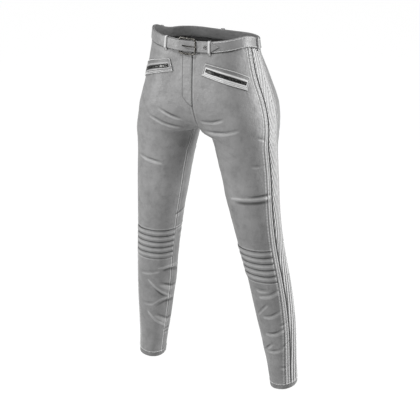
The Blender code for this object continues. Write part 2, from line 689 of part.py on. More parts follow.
def make_loop(name, a, on_ribs):
    """A belt loop: a strip from the panel, over the belt and onto the band's top edge."""
    here = a + np.array((-0.5, 0.0, 0.5)) * LOOP_WIDTH
    lift = strap_lift(here).max() if STRAP_LIFT[-1][0] < a < TIP else STRAP_LIFT[-1][1]
    face = lift + BELT_THICK + 0.0005
    edge, clear = BELT_WIDTH / 2, 0.0005
    foot, top = -BAND_HEIGHT / 2, BAND_HEIGHT / 2
    tail = LAY_ON + RIB_HEIGHT * on_ribs
    path = np.array(((foot - LOOP_TAIL, tail), (-edge - 0.0012, tail),
                     (-edge - clear, tail + 0.0006), (-edge - clear, face - 0.0006),
                     (-edge + 0.0006, face), (0.0, face), (edge - 0.0006, face),
                     (edge + clear, face - 0.0006), (top + SEAM_GAP + 0.0002, LAY_ON),
                     (top + SEAM_GAP + 0.0002, -0.0014)))
    outer_path = offset_path(path, LOOP_THICK)
    ends = a + np.array((-0.5, 0.5)) * LOOP_WIDTH
    grids = [at_waist(ends[:, None], p[:, 0], p[:, 1]) for p in (outer_path, path)]
    points, faces = wall_solid(*grids)
    add_object(name, points, faces, "leather")


def tube_solid(centres, across, up, wide, deep, sides=8, closed=False):
    """A tube of oval section along centres; across and up give each section's axes."""
    angle = np.linspace(0, 2 * math.pi, sides, endpoint=False) + math.pi / sides
    rows = (centres[:, None] + across[:, None] * (np.cos(angle) * wide / 2)[None, :, None]
            + up[:, None] * (np.sin(angle) * deep / 2)[None, :, None])
    count = len(centres)
    ids = np.arange(count * sides).reshape(count, sides)
    if closed:
        return rows.reshape(-1, 3), grid_faces(np.concatenate([ids, ids[:1]]), wrap=True)
    faces = grid_faces(ids, wrap=True)
    faces += [tuple(ids[0]), tuple(reversed(ids[-1]))]
    return rows.reshape(-1, 3), faces


def frame_path():
    """Rounded square in (a, h), anticlockwise from outside."""
    turn = np.linspace(0, math.pi / 2, 4)
    corners = ((1, 1, 0), (-1, 1, 1), (-1, -1, 2), (1, -1, 3))
    points = []
    for sa, sh, k in corners:
        middle = np.array((sa * (FRAME_HALF_A - FRAME_CORNER), sh * (FRAME_HALF_H - FRAME_CORNER)))
        arc = turn + k * math.pi / 2
        points.append(middle + FRAME_CORNER * np.stack([np.cos(arc), np.sin(arc)], -1))
    return np.concatenate(points)


def make_buckle():
    """The square frame and its prong, lying flat on the closed belt."""
    path = frame_path()
    share = (path[:, 0] + FRAME_HALF_A) / (2 * FRAME_HALF_A)
    off = BAR_OFF + (FAR_OFF - BAR_OFF) * share
    centres = at_waist(path[:, 0], path[:, 1], off)
    up = at_waist(path[:, 0], path[:, 1], off + 0.002) - centres
    up /= np.linalg.norm(up, axis=1, keepdims=True)
    ahead = np.roll(centres, -1, axis=0) - np.roll(centres, 1, axis=0)
    across = np.cross(ahead, up)
    across /= np.linalg.norm(across, axis=1, keepdims=True)
    solid = tube_solid(centres, across, up, FRAME_WIDE, FRAME_DEEP, closed=True)
    add_object("buckle_frame", *solid, "steel")

    a, off = np.array(PRONG_PATH).T
    centres = at_waist(a, 0.0, off)
    ahead = np.gradient(centres, axis=0)
    ahead /= np.linalg.norm(ahead, axis=1, keepdims=True)
    across = np.tile((0.0, 0.0, 1.0), (len(a), 1))
    up = np.cross(across, ahead)
    solid = tube_solid(centres, across, up, PRONG_THICK * 1.25, PRONG_THICK)
    add_object("buckle_prong", *solid, "steel")


# Fly and pockets

def make_fly():
    """The placket: a strip on the centre front, cut to a slant at its foot."""
    s = np.linspace(-FLY_BACK, FLY_EDGE, 5)
    foot = FLY_FOOT + FLY_SHORT * ((FLY_EDGE - s) / (FLY_EDGE + FLY_BACK)) ** 1.4
    share = np.linspace(0.0, 1.0, 9)[:, None]
    z = (TOP - BAND_HEIGHT - SEAM_GAP) * (1 - share) + foot * share
    q = q_from_front(z, np.broadcast_to(s, z.shape))
    panel("fly_placket", z, q, 1, off=LAY_ON + 0.0012, thick=0.0012)


def pocket_place(along_it, up_it):
    """(z, q) of a place in the pocket's flat frame, x along the zip to the side seam."""
    c, s = math.cos(POCKET_SLOPE), math.sin(POCKET_SLOPE)
    bow = POCKET_BOW * (1 - (2 * along_it / POCKET_LONG) ** 2)
    z = POCKET_Z + bow + along_it * s + up_it * c
    return z, q_from_front(z, POCKET_S + along_it * c - up_it * s)


def box_loop(long, high, drop=0.0, steps=9):
    """Points round a rectangle, anticlockwise, with the same count for any size."""
    x, y = long / 2, high / 2
    t = np.linspace(-1.0, 1.0, steps)[:-1]
    u = np.linspace(-1.0, 1.0, 3)[:-1]
    flat = np.concatenate([np.stack([x * t, 0 * t - y], -1), np.stack([0 * u + x, y * u], -1),
                           np.stack([-x * t, 0 * t + y], -1), np.stack([0 * u - x, -y * u], -1)])
    return flat + np.array((0.0, drop))


def make_pocket_frame(side, word):
    """The leather frame, with a raised lip round the slot."""
    loops = ((POCKET_LONG, POCKET_HIGH, 0.0, 0.0), (POCKET_LONG, POCKET_HIGH, 0.0, FRAME_THICK),
             (SLOT_LONG + 0.005, SLOT_HIGH + 0.006, SLOT_DROP, FRAME_THICK + LIP),
             (SLOT_LONG, SLOT_HIGH, SLOT_DROP, FRAME_THICK), (SLOT_LONG, SLOT_HIGH, SLOT_DROP, 0.0))
    rows = []
    for long, high, drop, off in loops:
        flat = box_loop(long, high, -drop)
        z, q = pocket_place(flat[:, 0], flat[:, 1])
        rows.append(body(z, q, np.full(z.shape, LAY_ON + off)))
    points, faces = ring_solid(np.array(rows))
    points, faces = mirror(points, turned(faces), side)
    add_object("pocket_frame_" + word, points, faces, "leather")


def make_zip_tape(side, word):
    """The closed zip's tape in the slot."""
    x = np.linspace(-0.5, 0.5, 9) * (SLOT_LONG - 2 * TAPE_PLAY)
    y = np.array((0.5, -0.5)) * (SLOT_HIGH - 2 * TAPE_PLAY) - SLOT_DROP
    z, q = pocket_place(x[:, None], y)
    panel("zip_tape_" + word, z.T, q.T, side, off=LAY_ON + TAPE_THICK, thick=TAPE_THICK,
          finish="zip_tape")


def zip_frame(side):
    """The flat frame at the pull's pin: x along the zip to the side seam, z out."""
    x = -SLOT_LONG / 2 + SLIDER_FROM_END
    off = LAY_ON + TAPE_THICK + SEAM_GAP + SLIDER_DEEP + BRIDGE_OPEN / 2
    z, q = pocket_place(np.array((x, x + 0.004, x)), np.array((0.0, 0.0, 0.004)) - SLOT_DROP)
    p = body(z, q, np.full(3, off + 0.0001))
    out = outward(z, q)[0]
    if side < 0:
        p, out = p * (-1, 1, 1), out * (-1, 1, 1)
    return flat_frame(p[0], p[1] - p[0], out)


def stadium(start, end, wide, count=5):
    """A strip along x with round ends, anticlockwise."""
    r = wide / 2
    turn = np.linspace(-math.pi / 2, math.pi / 2, count)
    right = np.stack([end - r + r * np.cos(turn), r * np.sin(turn)], -1)
    left = np.stack([start + r - r * np.cos(turn), -r * np.sin(turn)], -1)
    return np.concatenate([right, left])


def make_slider(side, word):
    """The slider: a plate that hugs the teeth, with a bridge over the pull's pin."""
    frame = zip_frame(side)
    low = frame.copy()
    low[:3, 3] -= frame[:3, 2] * (BRIDGE_OPEN / 2 + SLIDER_DEEP / 2)
    half = SLIDER_LONG / 2
    plate = np.array(((-half, -0.8), (-half * 0.55, -1.0), (half * 0.7, -0.85), (half, -0.6),
                      (half, 0.6), (half * 0.7, 0.85), (-half * 0.55, 1.0), (-half, 0.8)))
    plate[:, 1] *= SLIDER_WIDE / 2
    slider = prism("zip_slider_" + word, plate, SLIDER_DEEP, low)

    # the bridge, a bent strip seen from the side: outer edge, then the edge of its opening
    span, tall, leg = BRIDGE_LONG / 2, BRIDGE_OPEN / 2, BRIDGE_THICK
    foot = -tall - 0.0004
    outer = ((-span, foot), (-span, tall), (-span + leg, tall + leg), (span - leg, tall + leg),
             (span, tall), (span, foot))
    inner = ((-span + leg, foot), (-span + leg, tall - 0.0004), (-span + leg + 0.0005, tall),
             (span - leg - 0.0005, tall), (span - leg, tall - 0.0004), (span - leg, foot))
    strip = np.array([[(x, y, z) for x, z in run] for run in (outer, inner)
                      for y in (-BRIDGE_WIDE / 2, BRIDGE_WIDE / 2)])
    order = strip[[0, 1, 3, 2]]
    count = len(outer)
    ids = np.arange(4 * count).reshape(4, count)
    faces = grid_faces(np.concatenate([ids, ids[:1]]))
    faces += [tuple(reversed(ids[:, 0])), tuple(ids[:, -1])]
    bridge = add_object("bridge_" + word, into(frame, order.reshape(-1, 3)), faces, "steel")
    bridge.hide_render = True
    bridge.display_type = "WIRE"
    join = slider.modifiers.new("bridge", "BOOLEAN")
    join.operation = "UNION"
    join.object = bridge


def make_pull(side, word):
    """The pull tab: a flat plate with an eye, whose end bar lies in the bridge. Its
    origin is on the bar, about which it swings."""
    bar, eye, wide, half = PULL_BAR / 2, PULL_EYE_LONG, PULL_EYE_WIDE / 2, PULL_THICK / 2
    outer = np.roll(stadium(-bar, PULL_LONG, PULL_WIDE), -1, axis=0)
    inner = np.array(((eye, -wide), (eye, 0.0), (eye, wide), (eye * 0.6, wide), (bar, wide),
                      (bar, wide * 0.4), (bar, -wide * 0.4), (bar, -wide), (eye * 0.6, -wide),
                      (eye * 0.8, -wide)))
    rows = [np.c_[outer, np.full(len(outer), z)] for z in (half, -half)]
    rows += [np.c_[inner, np.full(len(inner), z)] for z in (-half, half)]
    points, faces = ring_solid(np.array(rows))
    frame = zip_frame(side)
    pull = add_object("zip_pull_" + word, points, faces, "steel")
    pull.matrix_world = Matrix([list(map(float, row)) for row in frame])


def clear_scene():
    for old in list(bpy.data.objects):
        bpy.data.objects.remove(old)


def main():
    clear_scene()
    for side, word in ((1, "left"), (-1, "right")):
        make_front(side, word)
        make_side(side, word)
        make_back(side, word)
        make_hem(side, word)
        make_pocket_frame(side, word)
        make_zip_tape(side, word)
        make_slider(side, word)
        make_pull(side, word)
    make_waistband()
    make_strap()
    for name, a, on_ribs in LOOPS:
        make_loop(name, HALF_WAIST if a is None else a, on_ribs)
    make_buckle()
    make_fly()


main()
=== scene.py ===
# %% [markdown]
# # Leather biker trousers
# A pair of close-fitting leather trousers, filled out as if worn, with nobody in them.
# They have ribbed knees, a side panel with slanting ribs, two slanting zip pockets, a fly
# and a belt with a square buckle. This lesson dresses a plain solid model of them: every
# leather panel is made again as a thin shell with its seams, creases and stitches.
# Lengths are metres, +Z is up, the front faces -Y and the wearer's left is +X.

# %% Load the solid model
import math

import bmesh
import bpy
import numpy as np
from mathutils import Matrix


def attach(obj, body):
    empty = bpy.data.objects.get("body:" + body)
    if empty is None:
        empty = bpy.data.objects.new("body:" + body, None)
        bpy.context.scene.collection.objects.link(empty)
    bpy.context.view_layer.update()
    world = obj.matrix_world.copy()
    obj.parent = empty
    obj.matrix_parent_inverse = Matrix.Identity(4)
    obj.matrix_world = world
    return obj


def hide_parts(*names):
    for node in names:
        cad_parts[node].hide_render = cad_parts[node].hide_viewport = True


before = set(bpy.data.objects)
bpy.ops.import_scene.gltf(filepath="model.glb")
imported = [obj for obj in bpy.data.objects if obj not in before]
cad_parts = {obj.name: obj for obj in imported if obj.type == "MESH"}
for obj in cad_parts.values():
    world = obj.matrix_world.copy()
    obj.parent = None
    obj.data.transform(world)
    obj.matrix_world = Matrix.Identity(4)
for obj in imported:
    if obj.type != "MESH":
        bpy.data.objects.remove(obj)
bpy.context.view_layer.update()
MM = 0.001
SIDES = ((1, "left"), (-1, "right"))

# %% [markdown]
# ## The camera
# The photograph looks down a little, from the front and round to the wearer's left, with
# a long lens from about three metres. A long lens keeps both legs nearly the same size.

# %% Camera
CAMERA_TURN, CAMERA_PITCH = math.radians(27.0), math.radians(22.64)
CAMERA_AWAY, CAMERA_UP = 3.0, 0.765
FOCAL_PIXELS, IMAGE_PIXELS, SENSOR = 1222.0, 420.0, 36.0
CENTRE_PIXEL = 209.1

lens = bpy.data.cameras.new("camera")
lens.sensor_width = SENSOR
lens.lens = SENSOR * FOCAL_PIXELS / IMAGE_PIXELS
lens.shift_x = (IMAGE_PIXELS / 2 - CENTRE_PIXEL) / IMAGE_PIXELS
camera = bpy.data.objects.new("camera", lens)
camera.location = (math.sin(CAMERA_TURN) * CAMERA_AWAY, -math.cos(CAMERA_TURN) * CAMERA_AWAY,
                   CAMERA_UP)
camera.rotation_euler = (math.pi / 2 - CAMERA_PITCH, 0.0, CAMERA_TURN)
bpy.context.scene.collection.objects.link(camera)
bpy.context.scene.camera = camera
print("camera: lens %.1f mm" % lens.lens)

# %% [markdown]
# ## The body surface
# Leather trousers take the wearer's shape, so one surface carries every panel. It is a
# stack of level sections, each made of four quarter superellipses. A place on it is named
# by z, its level, and q, its place round the wearer's left half: 0 on the front edge (the
# centre front, and below the crotch the inseam), 1 on the side, 2 on the back edge. The
# right half is its mirror image. This way a seam, a crease or a stitch is a short list
# of places, and it lies on the surface by itself.

# %% Sizes of the cut
LEATHER = 0.0015
SEAM_GAP = 0.0001
BAND_HEIGHT, BAND_THICK = 0.028, 0.0022
KNEE_TOP, KNEE_RIBS, KNEE_PITCH = -0.552, 5, 0.0186
KNEE_FOOT = KNEE_TOP - KNEE_RIBS * KNEE_PITCH
HEM_TOP, HEM, CROTCH = -0.970, -0.982, -0.243
FRONT_EDGE, NARROW_BAND, RIBBED_BAND = -0.038, 0.016, 0.037
PANEL_TOP = -BAND_HEIGHT - SEAM_GAP

# %% Section table
SECTION_COLUMNS = ("z", "mid_x", "outer_x", "inner_x", "front_y", "back_y", "side_y")
SECTIONS = np.array((
    (0.012, 0.045, 0.1305, 0.000, -0.111, 0.074, -0.013),
    (-0.030, 0.050, 0.1345, 0.000, -0.114, 0.080, -0.013),
    (-0.070, 0.058, 0.1425, 0.000, -0.117, 0.093, -0.011),
    (-0.110, 0.068, 0.1530, 0.000, -0.119, 0.108, -0.007),
    (-0.150, 0.078, 0.1655, 0.000, -0.119, 0.121, -0.003),
    (-0.190, 0.088, 0.1765, 0.000, -0.117, 0.128, -0.004),
    (-0.225, 0.098, 0.1838, 0.000, -0.112, 0.120, -0.010),
    (-0.243, 0.1028, 0.1865, 0.000, -0.1078, 0.1095, -0.0155),
    (-0.2455, 0.1034, 0.1869, 0.024, -0.1071, 0.1078, -0.0163),
    (-0.250, 0.1045, 0.1873, 0.0295, -0.1058, 0.1045, -0.0177),
    (-0.258, 0.1065, 0.1882, 0.0325, -0.1035, 0.0990, -0.0193),
    (-0.268, 0.1088, 0.1890, 0.0350, -0.1010, 0.0922, -0.0195),
    (-0.290, 0.113, 0.190, 0.0380, -0.096, 0.080, -0.016),
    (-0.330, 0.119, 0.192, 0.046, -0.091, 0.069, -0.011),
    (-0.370, 0.125, 0.195, 0.055, -0.086, 0.065, -0.010),
    (-0.420, 0.131, 0.198, 0.064, -0.080, 0.062, -0.009),
    (-0.470, 0.138, 0.2015, 0.075, -0.072, 0.060, -0.006),
    (-0.520, 0.146, 0.206, 0.086, -0.063, 0.061, -0.001),
    (-0.570, 0.154, 0.2115, 0.0965, -0.053, 0.065, 0.006),
    (-0.620, 0.163, 0.2185, 0.1075, -0.043, 0.071, 0.014),
    (-0.680, 0.172, 0.226, 0.118, -0.032, 0.080, 0.024),
    (-0.740, 0.180, 0.232, 0.128, -0.022, 0.0865, 0.032),
    (-0.800, 0.188, 0.236, 0.140, -0.012, 0.0905, 0.039),
    (-0.860, 0.195, 0.238, 0.152, -0.003, 0.0915, 0.044),
    (-0.915, 0.201, 0.2395, 0.1625, 0.004, 0.090, 0.047),
    (-0.990, 0.209, 0.244, 0.174, 0.010, 0.088, 0.049),
))
FRONT_TURN, BACK_TURN, TURN_ROUND = -0.150, -0.090, 2.2
TORSO_ROUND, LEG_ROUND, SEAM_FORWARD = 2.35, 2.15, 0.05
WAIST_RISE, SIDE_RISE, BACK_FALL = 0.003, 0.0115, 0.015
HEM_LEAN_X, HEM_LEAN_Y = 0.115, 0.05
GRID_TOP, GRID_FOOT, GRID_ROWS, GRID_HALF = 0.012, -0.990, 405, 121
HIP_ROW = 81


# %% Smooth curves through a few values
def hermite(levels, values, z):
    """A curve through values at rising levels. Each piece is the cubic whose ends have
    the two values and the slopes that their neighbours give."""
    t, v = np.asarray(levels, float), np.asarray(values, float)
    slope = np.gradient(v, t)
    x = np.clip(np.asarray(z, float), t[0], t[-1])
    i = np.clip(np.searchsorted(t, x, side="right") - 1, 0, len(t) - 2)
    h = t[i + 1] - t[i]
    a = (x - t[i]) / h
    return ((2 * a**3 - 3 * a**2 + 1) * v[i] + (a**3 - 2 * a**2 + a) * h * slope[i]
            + (3 * a**2 - 2 * a**3) * v[i + 1] + (a**3 - a**2) * h * slope[i + 1])


def ease(a):
    """0 below 0, 1 above 1, and 3a^2 - 2a^3 between: an S curve."""
    a = np.clip(a, 0.0, 1.0)
    return a * a * (3.0 - 2.0 * a)


def section(z):
    """The section table read at level z."""
    columns = zip(SECTION_COLUMNS, SECTIONS.T)
    return {name: hermite(-SECTIONS[:, 0], values, -np.asarray(z)) for name, values in columns}


def along(points):
    """Distance along a run of points: the running sum of the steps' lengths."""
    return np.r_[0.0, np.cumsum(np.linalg.norm(np.diff(points, axis=0), axis=1))]


def read_along(at, way, points):
    """A run of points read at distances at, where way is each point's own distance."""
    return np.stack([np.interp(at, way, column) for column in points.T], -1)


def unit(vectors):
    """The same directions with length 1."""
    return vectors / np.linalg.norm(vectors, axis=-1, keepdims=True)


# %% One level section
def closing(z, turn):
    """How much of an inner quarter is left at level z. From the turn down to the crotch
    the quarter closes as the section sinks, along a superellipse of its own."""
    t = min(max((turn - z) / (turn - CROTCH), 0.0), 1.0)
    depth = (1.0 - t**TURN_ROUND) ** (1.0 / TURN_ROUND)
    return max((1.0 - depth**TORSO_ROUND) ** (1.0 / TORSO_ROUND), 0.08)


def quarter(power, share, mid, end, side_y, far_y, count):
    """x = mid + (end - mid) sin(t)^(2/power), y = side_y + (far_y - side_y)
    cos(t)^(2/power): a quarter superellipse, cut where x has gone a share of its way."""
    angle = np.linspace(0.0, math.asin(min(1.0, share ** (power / 2))), count)
    across, depth = np.sin(angle) ** (2 / power), np.cos(angle) ** (2 / power)
    x = mid + (end - mid) * across / share
    return np.stack([x, side_y + (far_y - side_y) * depth], -1)


def smooth_centre(points, inner_pair, z):
    """Adds a parabola near x = 0, so that the two halves meet there without a dent."""
    step = points[inner_pair[1]] - points[inner_pair[0]]
    slope = np.clip(step[1] / max(step[0], 1e-6), -0.8, 0.8)
    reach = 0.04 * float(ease((z - CROTCH) / 0.05)) + 1e-4
    x = points[:, 0]
    points[:, 1] += np.where(x < reach, slope * reach / 2 * (1 - x / reach) ** 2, 0)


def half_ring(z, count=121):
    """The section at level z, from the front edge round the side to the back edge, and
    how far along it the side point lies."""
    s = section(z)
    power = TORSO_ROUND + (LEG_ROUND - TORSO_ROUND) * float(ease((-z - 0.15) / 0.15))
    inner = s["inner_x"] if z < CROTCH else 0.0
    mid, outer, side_y = s["mid_x"], s["outer_x"], s["side_y"]
    front, back = s["front_y"], s["back_y"]
    front_in = quarter(power, closing(z, FRONT_TURN), mid, inner, side_y, front, count)[::-1]
    front_out = quarter(power, 1.0, mid, outer, side_y, front, count)
    back_out = quarter(power, 1.0, mid, outer, side_y, back, count)[::-1]
    back_in = quarter(power, closing(z, BACK_TURN), mid, inner, side_y, back, count)
    if z > CROTCH:
        smooth_centre(front_in, (0, 1), z)
        smooth_centre(back_in, (-1, -2), z)
    ring = np.concatenate([front_in, front_out[1:], back_out[1:], back_in[1:]])
    arc, side = along(ring), 2 * count - 2
    if z > CROTCH:
        return ring, arc[side]
    start = SEAM_FORWARD * arc[-1] * float(ease((CROTCH - z) / 0.08))
    where = np.linspace(0.0, arc[-1], len(ring)) + start
    where = np.where(where > arc[-1], where - arc[-1], where)
    return read_along(where, arc, ring), arc[side] - start


# %% The whole left half as a grid
def plain_reach(levels, reaches, z):
    """The panel's width without the extra that turns under at the crotch."""
    high, low = -0.19, -0.33
    if z > high or z < low:
        return np.interp(-z, -levels, reaches)
    ends = np.interp((-high, -low), -levels, reaches)
    return min(np.interp(-z, -levels, reaches), np.interp(-z, (-high, -low), ends))


def body_grid():
    """Points of the left half, a row for each level and a column for each q, and how
    far each lies from the side line. Even steps, with the crotch's extra as t^4."""
    levels = np.linspace(GRID_TOP, GRID_FOOT, GRID_ROWS)
    rings = [half_ring(z) for z in levels]
    arcs = [along(ring) for ring, _ in rings]
    fronts = np.array([side for _, side in rings])
    backs = np.array([arc[-1] for arc in arcs]) - fronts
    t = np.linspace(0.0, 1.0, GRID_HALF)
    points = np.zeros((GRID_ROWS, 2 * GRID_HALF - 1, 3))
    reach = np.zeros(points.shape[:2])
    for i, z in enumerate(levels):
        plain = [plain_reach(levels, far, z) for far in (fronts, backs)]
        front, back = (p * t + (far[i] - p) * t**4 for p, far in zip(plain, (fronts, backs)))
        reach[i] = np.r_[-front[::-1], back[1:]]
        points[i, :, :2] = read_along(reach[i] + fronts[i], arcs[i], rings[i][0])
        points[i, :, 2] = z
    return levels, shape_edges(levels, points), reach


def shape_edges(levels, points):
    """Lifts the waist at the sides, drops it behind, and sets the hems square to the legs."""
    x, y = points[..., 0], points[..., 1]
    near_waist = ease((points[..., 2] + 0.10) / 0.07)
    rear = ease((y + 0.06) / 0.10)
    lift = WAIST_RISE + SIDE_RISE * np.clip(x / 0.12, 0, 1) ** 2 * (1 - 0.85 * rear)
    lift -= BACK_FALL * rear
    mid = section(levels)
    near_hem = ease((-levels - 0.60) / 0.35)[:, None]
    lean = HEM_LEAN_X * (x - mid["mid_x"][:, None]) + HEM_LEAN_Y * (y - mid["side_y"][:, None])
    points[..., 2] += near_waist * lift + near_hem * lean
    return points


LEVELS, GRID, REACH = body_grid()
print("body grid:", GRID.shape[:2], "hips %.3f m" % (2 * np.ptp(REACH[HIP_ROW])))


# %% Reading the surface
NEARLY_ALL = 0.9999999  # keeps the last place inside a table


def read_table(table, z, share):
    """A table with a row for each grid level, read at level z and a share of its width:
    the four entries around are mixed."""
    down = np.clip((GRID_TOP - z) / (GRID_TOP - GRID_FOOT), 0, NEARLY_ALL) * (GRID_ROWS - 1)
    across = np.clip(share, 0, NEARLY_ALL) * (table.shape[1] - 1)
    i, j = down.astype(int), across.astype(int)
    a, b = (part.reshape(part.shape + (1,) * (table.ndim - 2)) for part in (down - i, across - j))
    return ((table[i, j] * (1 - b) + table[i, j + 1] * b) * (1 - a)
            + (table[i + 1, j] * (1 - b) + table[i + 1, j + 1] * b) * a)


def surface(z, q):
    """Points at (z, q). Past the centre line above the crotch the surface goes on as its
    mirror image, and below it round the leg."""
    z, q = np.broadcast_arrays(np.asarray(z, float), np.asarray(q, float))
    torso = z > CROTCH
    folded = np.where(q < 0, -q, np.where(q > 2, 4 - q, q))
    wrapped = np.where(q < 0, q + 2, np.where(q > 2, q - 2, q))
    p = read_table(GRID, z, np.where(torso, folded, wrapped) / 2)
    p[..., 0] = np.where(((q < 0) | (q > 2)) & torso, -p[..., 0], p[..., 0])
    return p


def outward(z, q):
    """Unit normals: the cross product of the steps down and round the surface."""
    z, q = np.asarray(z, float), np.asarray(q, float)
    return unit(np.cross(surface(z - 0.004, q) - surface(z + 0.004, q),
                         surface(z, q + 0.02) - surface(z, q - 0.02)))


def body(z, q, off=0.0):
    """Points of the left half, moved out by off."""
    return surface(z, q) + np.asarray(off, float)[..., None] * outward(z, q)


# %% Distances along the surface
W_STEPS = np.linspace(-0.34, 0.40, 1481)
Q_TABLE = np.array([np.interp(W_STEPS, row, np.linspace(0.0, 2.0, 2 * GRID_HALF - 1))
                    for row in REACH])


def q_from_side(z, w):
    """q at a distance w from the side line, positive towards the back."""
    z, w = np.broadcast_arrays(np.asarray(z, float), np.asarray(w, float))
    return read_table(Q_TABLE, z, (w - W_STEPS[0]) / np.ptp(W_STEPS))


def edge_reach(z, column):
    """Distance from the side line to the front edge (column 0) or the back edge (-1)."""
    return np.abs(np.interp(-np.asarray(z, float), -LEVELS, REACH[:, column]))


def q_from_front(z, s):
    """q at a distance s from the front edge; past it, s is negative."""
    s = np.asarray(s, float)
    return np.sign(s) * q_from_side(z, np.abs(s) - edge_reach(z, 0))


# %% [markdown]
# ## Creases
# Worn leather folds where the body bends, and it keeps the fold: a narrow trough with a
# soft lip beside it, or a rolled ridge. They could be simulated, but these trousers are
# stiff and each fold's place is known, so each is drawn: a few places on the surface,
# then its depth, half width and lip in millimetres. A negative depth is a ridge.

# %% The crease function
def crease(points, normals, places, depth, wide, lip):
    """Heights that one crease adds: -depth e^-(d/wide)^2 + lip e^-((d + 1.9 wide) / 1.5
    wide)^2, where d is the distance from its line, positive above it, and the whole
    fades to the two ends as sin(pi t)^0.8 and swells a little on the way."""
    height = np.zeros(points.shape[:-1])
    knots = np.array(places)
    t = np.linspace(0, len(knots) - 1, 6 * (len(knots) - 1) + 1)
    q, z = (hermite(np.arange(len(knots)), knots[:, k], t) for k in (0, 1))
    line = surface(z, q)
    margin = 4 * wide * MM
    near = np.all((points > line.min(0) - margin) & (points < line.max(0) + margin), axis=-1)
    p, n = points[near], normals[near]
    step = np.diff(line, axis=0)
    gap = p[:, None] - line[:-1]
    share = np.clip((gap * step).sum(-1) / (step * step).sum(-1), 0, 1)
    gap = gap - share[..., None] * step
    k = np.linalg.norm(gap, axis=-1).argmin(1)
    rows = np.arange(len(p))
    gap, t = gap[rows, k], (k + share[rows, k]) / len(step)
    up = np.cross(step[k], n)
    up *= np.sign(up[:, 2:] + 1e-9)
    d = np.linalg.norm(gap, axis=-1) * np.sign((gap * up).sum(-1)) / (wide * MM)
    shape = -depth * np.exp(-d**2) + lip * np.exp(-((d + 1.9) / 1.5) ** 2)
    fade = np.sin(np.pi * t) ** 0.8 * (1 + 0.2 * np.sin(9 * t + knots[0, 1] * 90))
    height[near] = shape * fade * MM
    return height


# %% Creases of the wearer's left leg: places (q, z), depth, half width, lip
LEFT_CREASES = (
    (((0.10, -0.1985), (0.267, -0.1945), (0.412, -0.1812)), 1.1, 2.8, 0.5),
    (((0.12, -0.226), (0.362, -0.2204), (0.56, -0.2055)), 1.0, 3.2, 0.7),
    (((0.05, -0.252), (0.20, -0.243), (0.36, -0.240)), 0.8, 3.5, 0.4),
    (((0.29, -0.4066), (0.462, -0.4031), (0.62, -0.4015), (0.78, -0.4007), (1.02, -0.4000)),
     -2.6, 3.2, 0.0),
    (((0.54, -0.3935), (0.738, -0.3922), (0.96, -0.3925)), 1.5, 2.6, 0.0),
    (((0.35, -0.4145), (0.60, -0.4115), (0.90, -0.4100)), 1.2, 4.5, 0.0),
    (((0.73, -0.2335), (0.80, -0.239), (0.885, -0.249)), 0.9, 2.2, 0.5),
    (((0.36, -0.688), (0.571, -0.6815), (0.74, -0.6680)), 1.0, 3.6, 1.1),
    (((0.20, -0.757), (0.388, -0.7283), (0.52, -0.7080)), 1.0, 2.6, 0.5),
    (((0.36, -0.7508), (0.537, -0.7468), (0.72, -0.7305)), 1.0, 3.4, 0.9),
    (((0.34, -0.8025), (0.533, -0.8025), (0.76, -0.7880)), 1.1, 3.4, 1.2),
    (((0.20, -0.866), (0.36, -0.846), (0.50, -0.8310)), 1.0, 2.8, 0.5),
    (((0.28, -0.8605), (0.50, -0.8575), (0.70, -0.8500)), 0.8, 3.2, 0.6),
    (((0.64, -0.7805), (0.74, -0.7765), (0.87, -0.7690)), 0.9, 2.6, 0.5),
    (((0.64, -0.8495), (0.74, -0.8415), (0.88, -0.8330)), 0.9, 2.6, 0.5),
    (((0.30, -0.6640), (0.45, -0.6690), (0.66, -0.6640)), 0.6, 4.0, 0.4),
    (((0.55, -0.9100), (0.68, -0.9130), (0.84, -0.9060)), 0.6, 3.0, 0.4),
    (((0.62, -0.3050), (0.72, -0.3090), (0.84, -0.3080)), 0.5, 3.0, 0.3),
)

# %% Creases of the right leg's front, and of both legs behind
RIGHT_CREASES = (
    (((0.36, -0.1740), (0.20, -0.1923), (0.04, -0.2040)), 1.1, 2.8, 0.6),
    (((0.45, -0.1990), (0.263, -0.2182), (0.10, -0.2290)), 1.0, 3.0, 0.6),
    (((0.68, -0.3240), (0.475, -0.3316), (0.27, -0.3380)), 0.9, 3.2, 0.8),
    (((2.06, -0.5040), (1.93, -0.5010), (1.74, -0.4930)), 1.6, 3.2, 1.2),
    (((2.28, -0.6790), (2.083, -0.6746), (1.90, -0.6790), (1.70, -0.6960)), -1.9, 3.4, 0.0),
    (((2.20, -0.6870), (2.02, -0.6850), (1.76, -0.7060)), 1.5, 4.0, 0.0),
    (((0.46, -0.7140), (0.25, -0.7483), (-0.04, -0.7800)), -1.7, 2.8, 0.0),
    (((0.40, -0.7280), (0.20, -0.7620), (-0.02, -0.7860)), 0.9, 3.2, 0.0),
    (((0.35, -0.7980), (0.158, -0.7814), (-0.05, -0.7830), (-0.26, -0.8050)), -1.4, 3.2, 0.0),
    (((0.30, -0.8080), (0.12, -0.7920), (-0.10, -0.7960), (-0.26, -0.8150)), 1.3, 4.0, 0.0),
    (((0.45, -0.8240), (0.25, -0.8556), (-0.03, -0.8820)), -1.7, 2.8, 0.0),
    (((0.06, -0.8900), (-0.06, -0.8915), (-0.20, -0.8960)), 1.1, 2.2, 1.0),
    (((0.04, -0.9010), (-0.08, -0.9040), (-0.22, -0.9120)), 1.1, 2.2, 1.0),
    (((0.24, -0.7240), (0.10, -0.7330), (-0.06, -0.7440), (-0.24, -0.7500)), 1.2, 4.2, 0.8),
    (((0.26, -0.8300), (0.10, -0.8440), (-0.06, -0.8560), (-0.24, -0.8560)), 1.1, 4.2, 0.8),
    (((0.66, -0.6960), (0.408, -0.6901), (0.20, -0.6800)), 0.5, 3.6, 0.4),
    (((0.64, -0.7990), (0.396, -0.7949), (0.24, -0.7860)), 0.5, 3.6, 0.3),
)
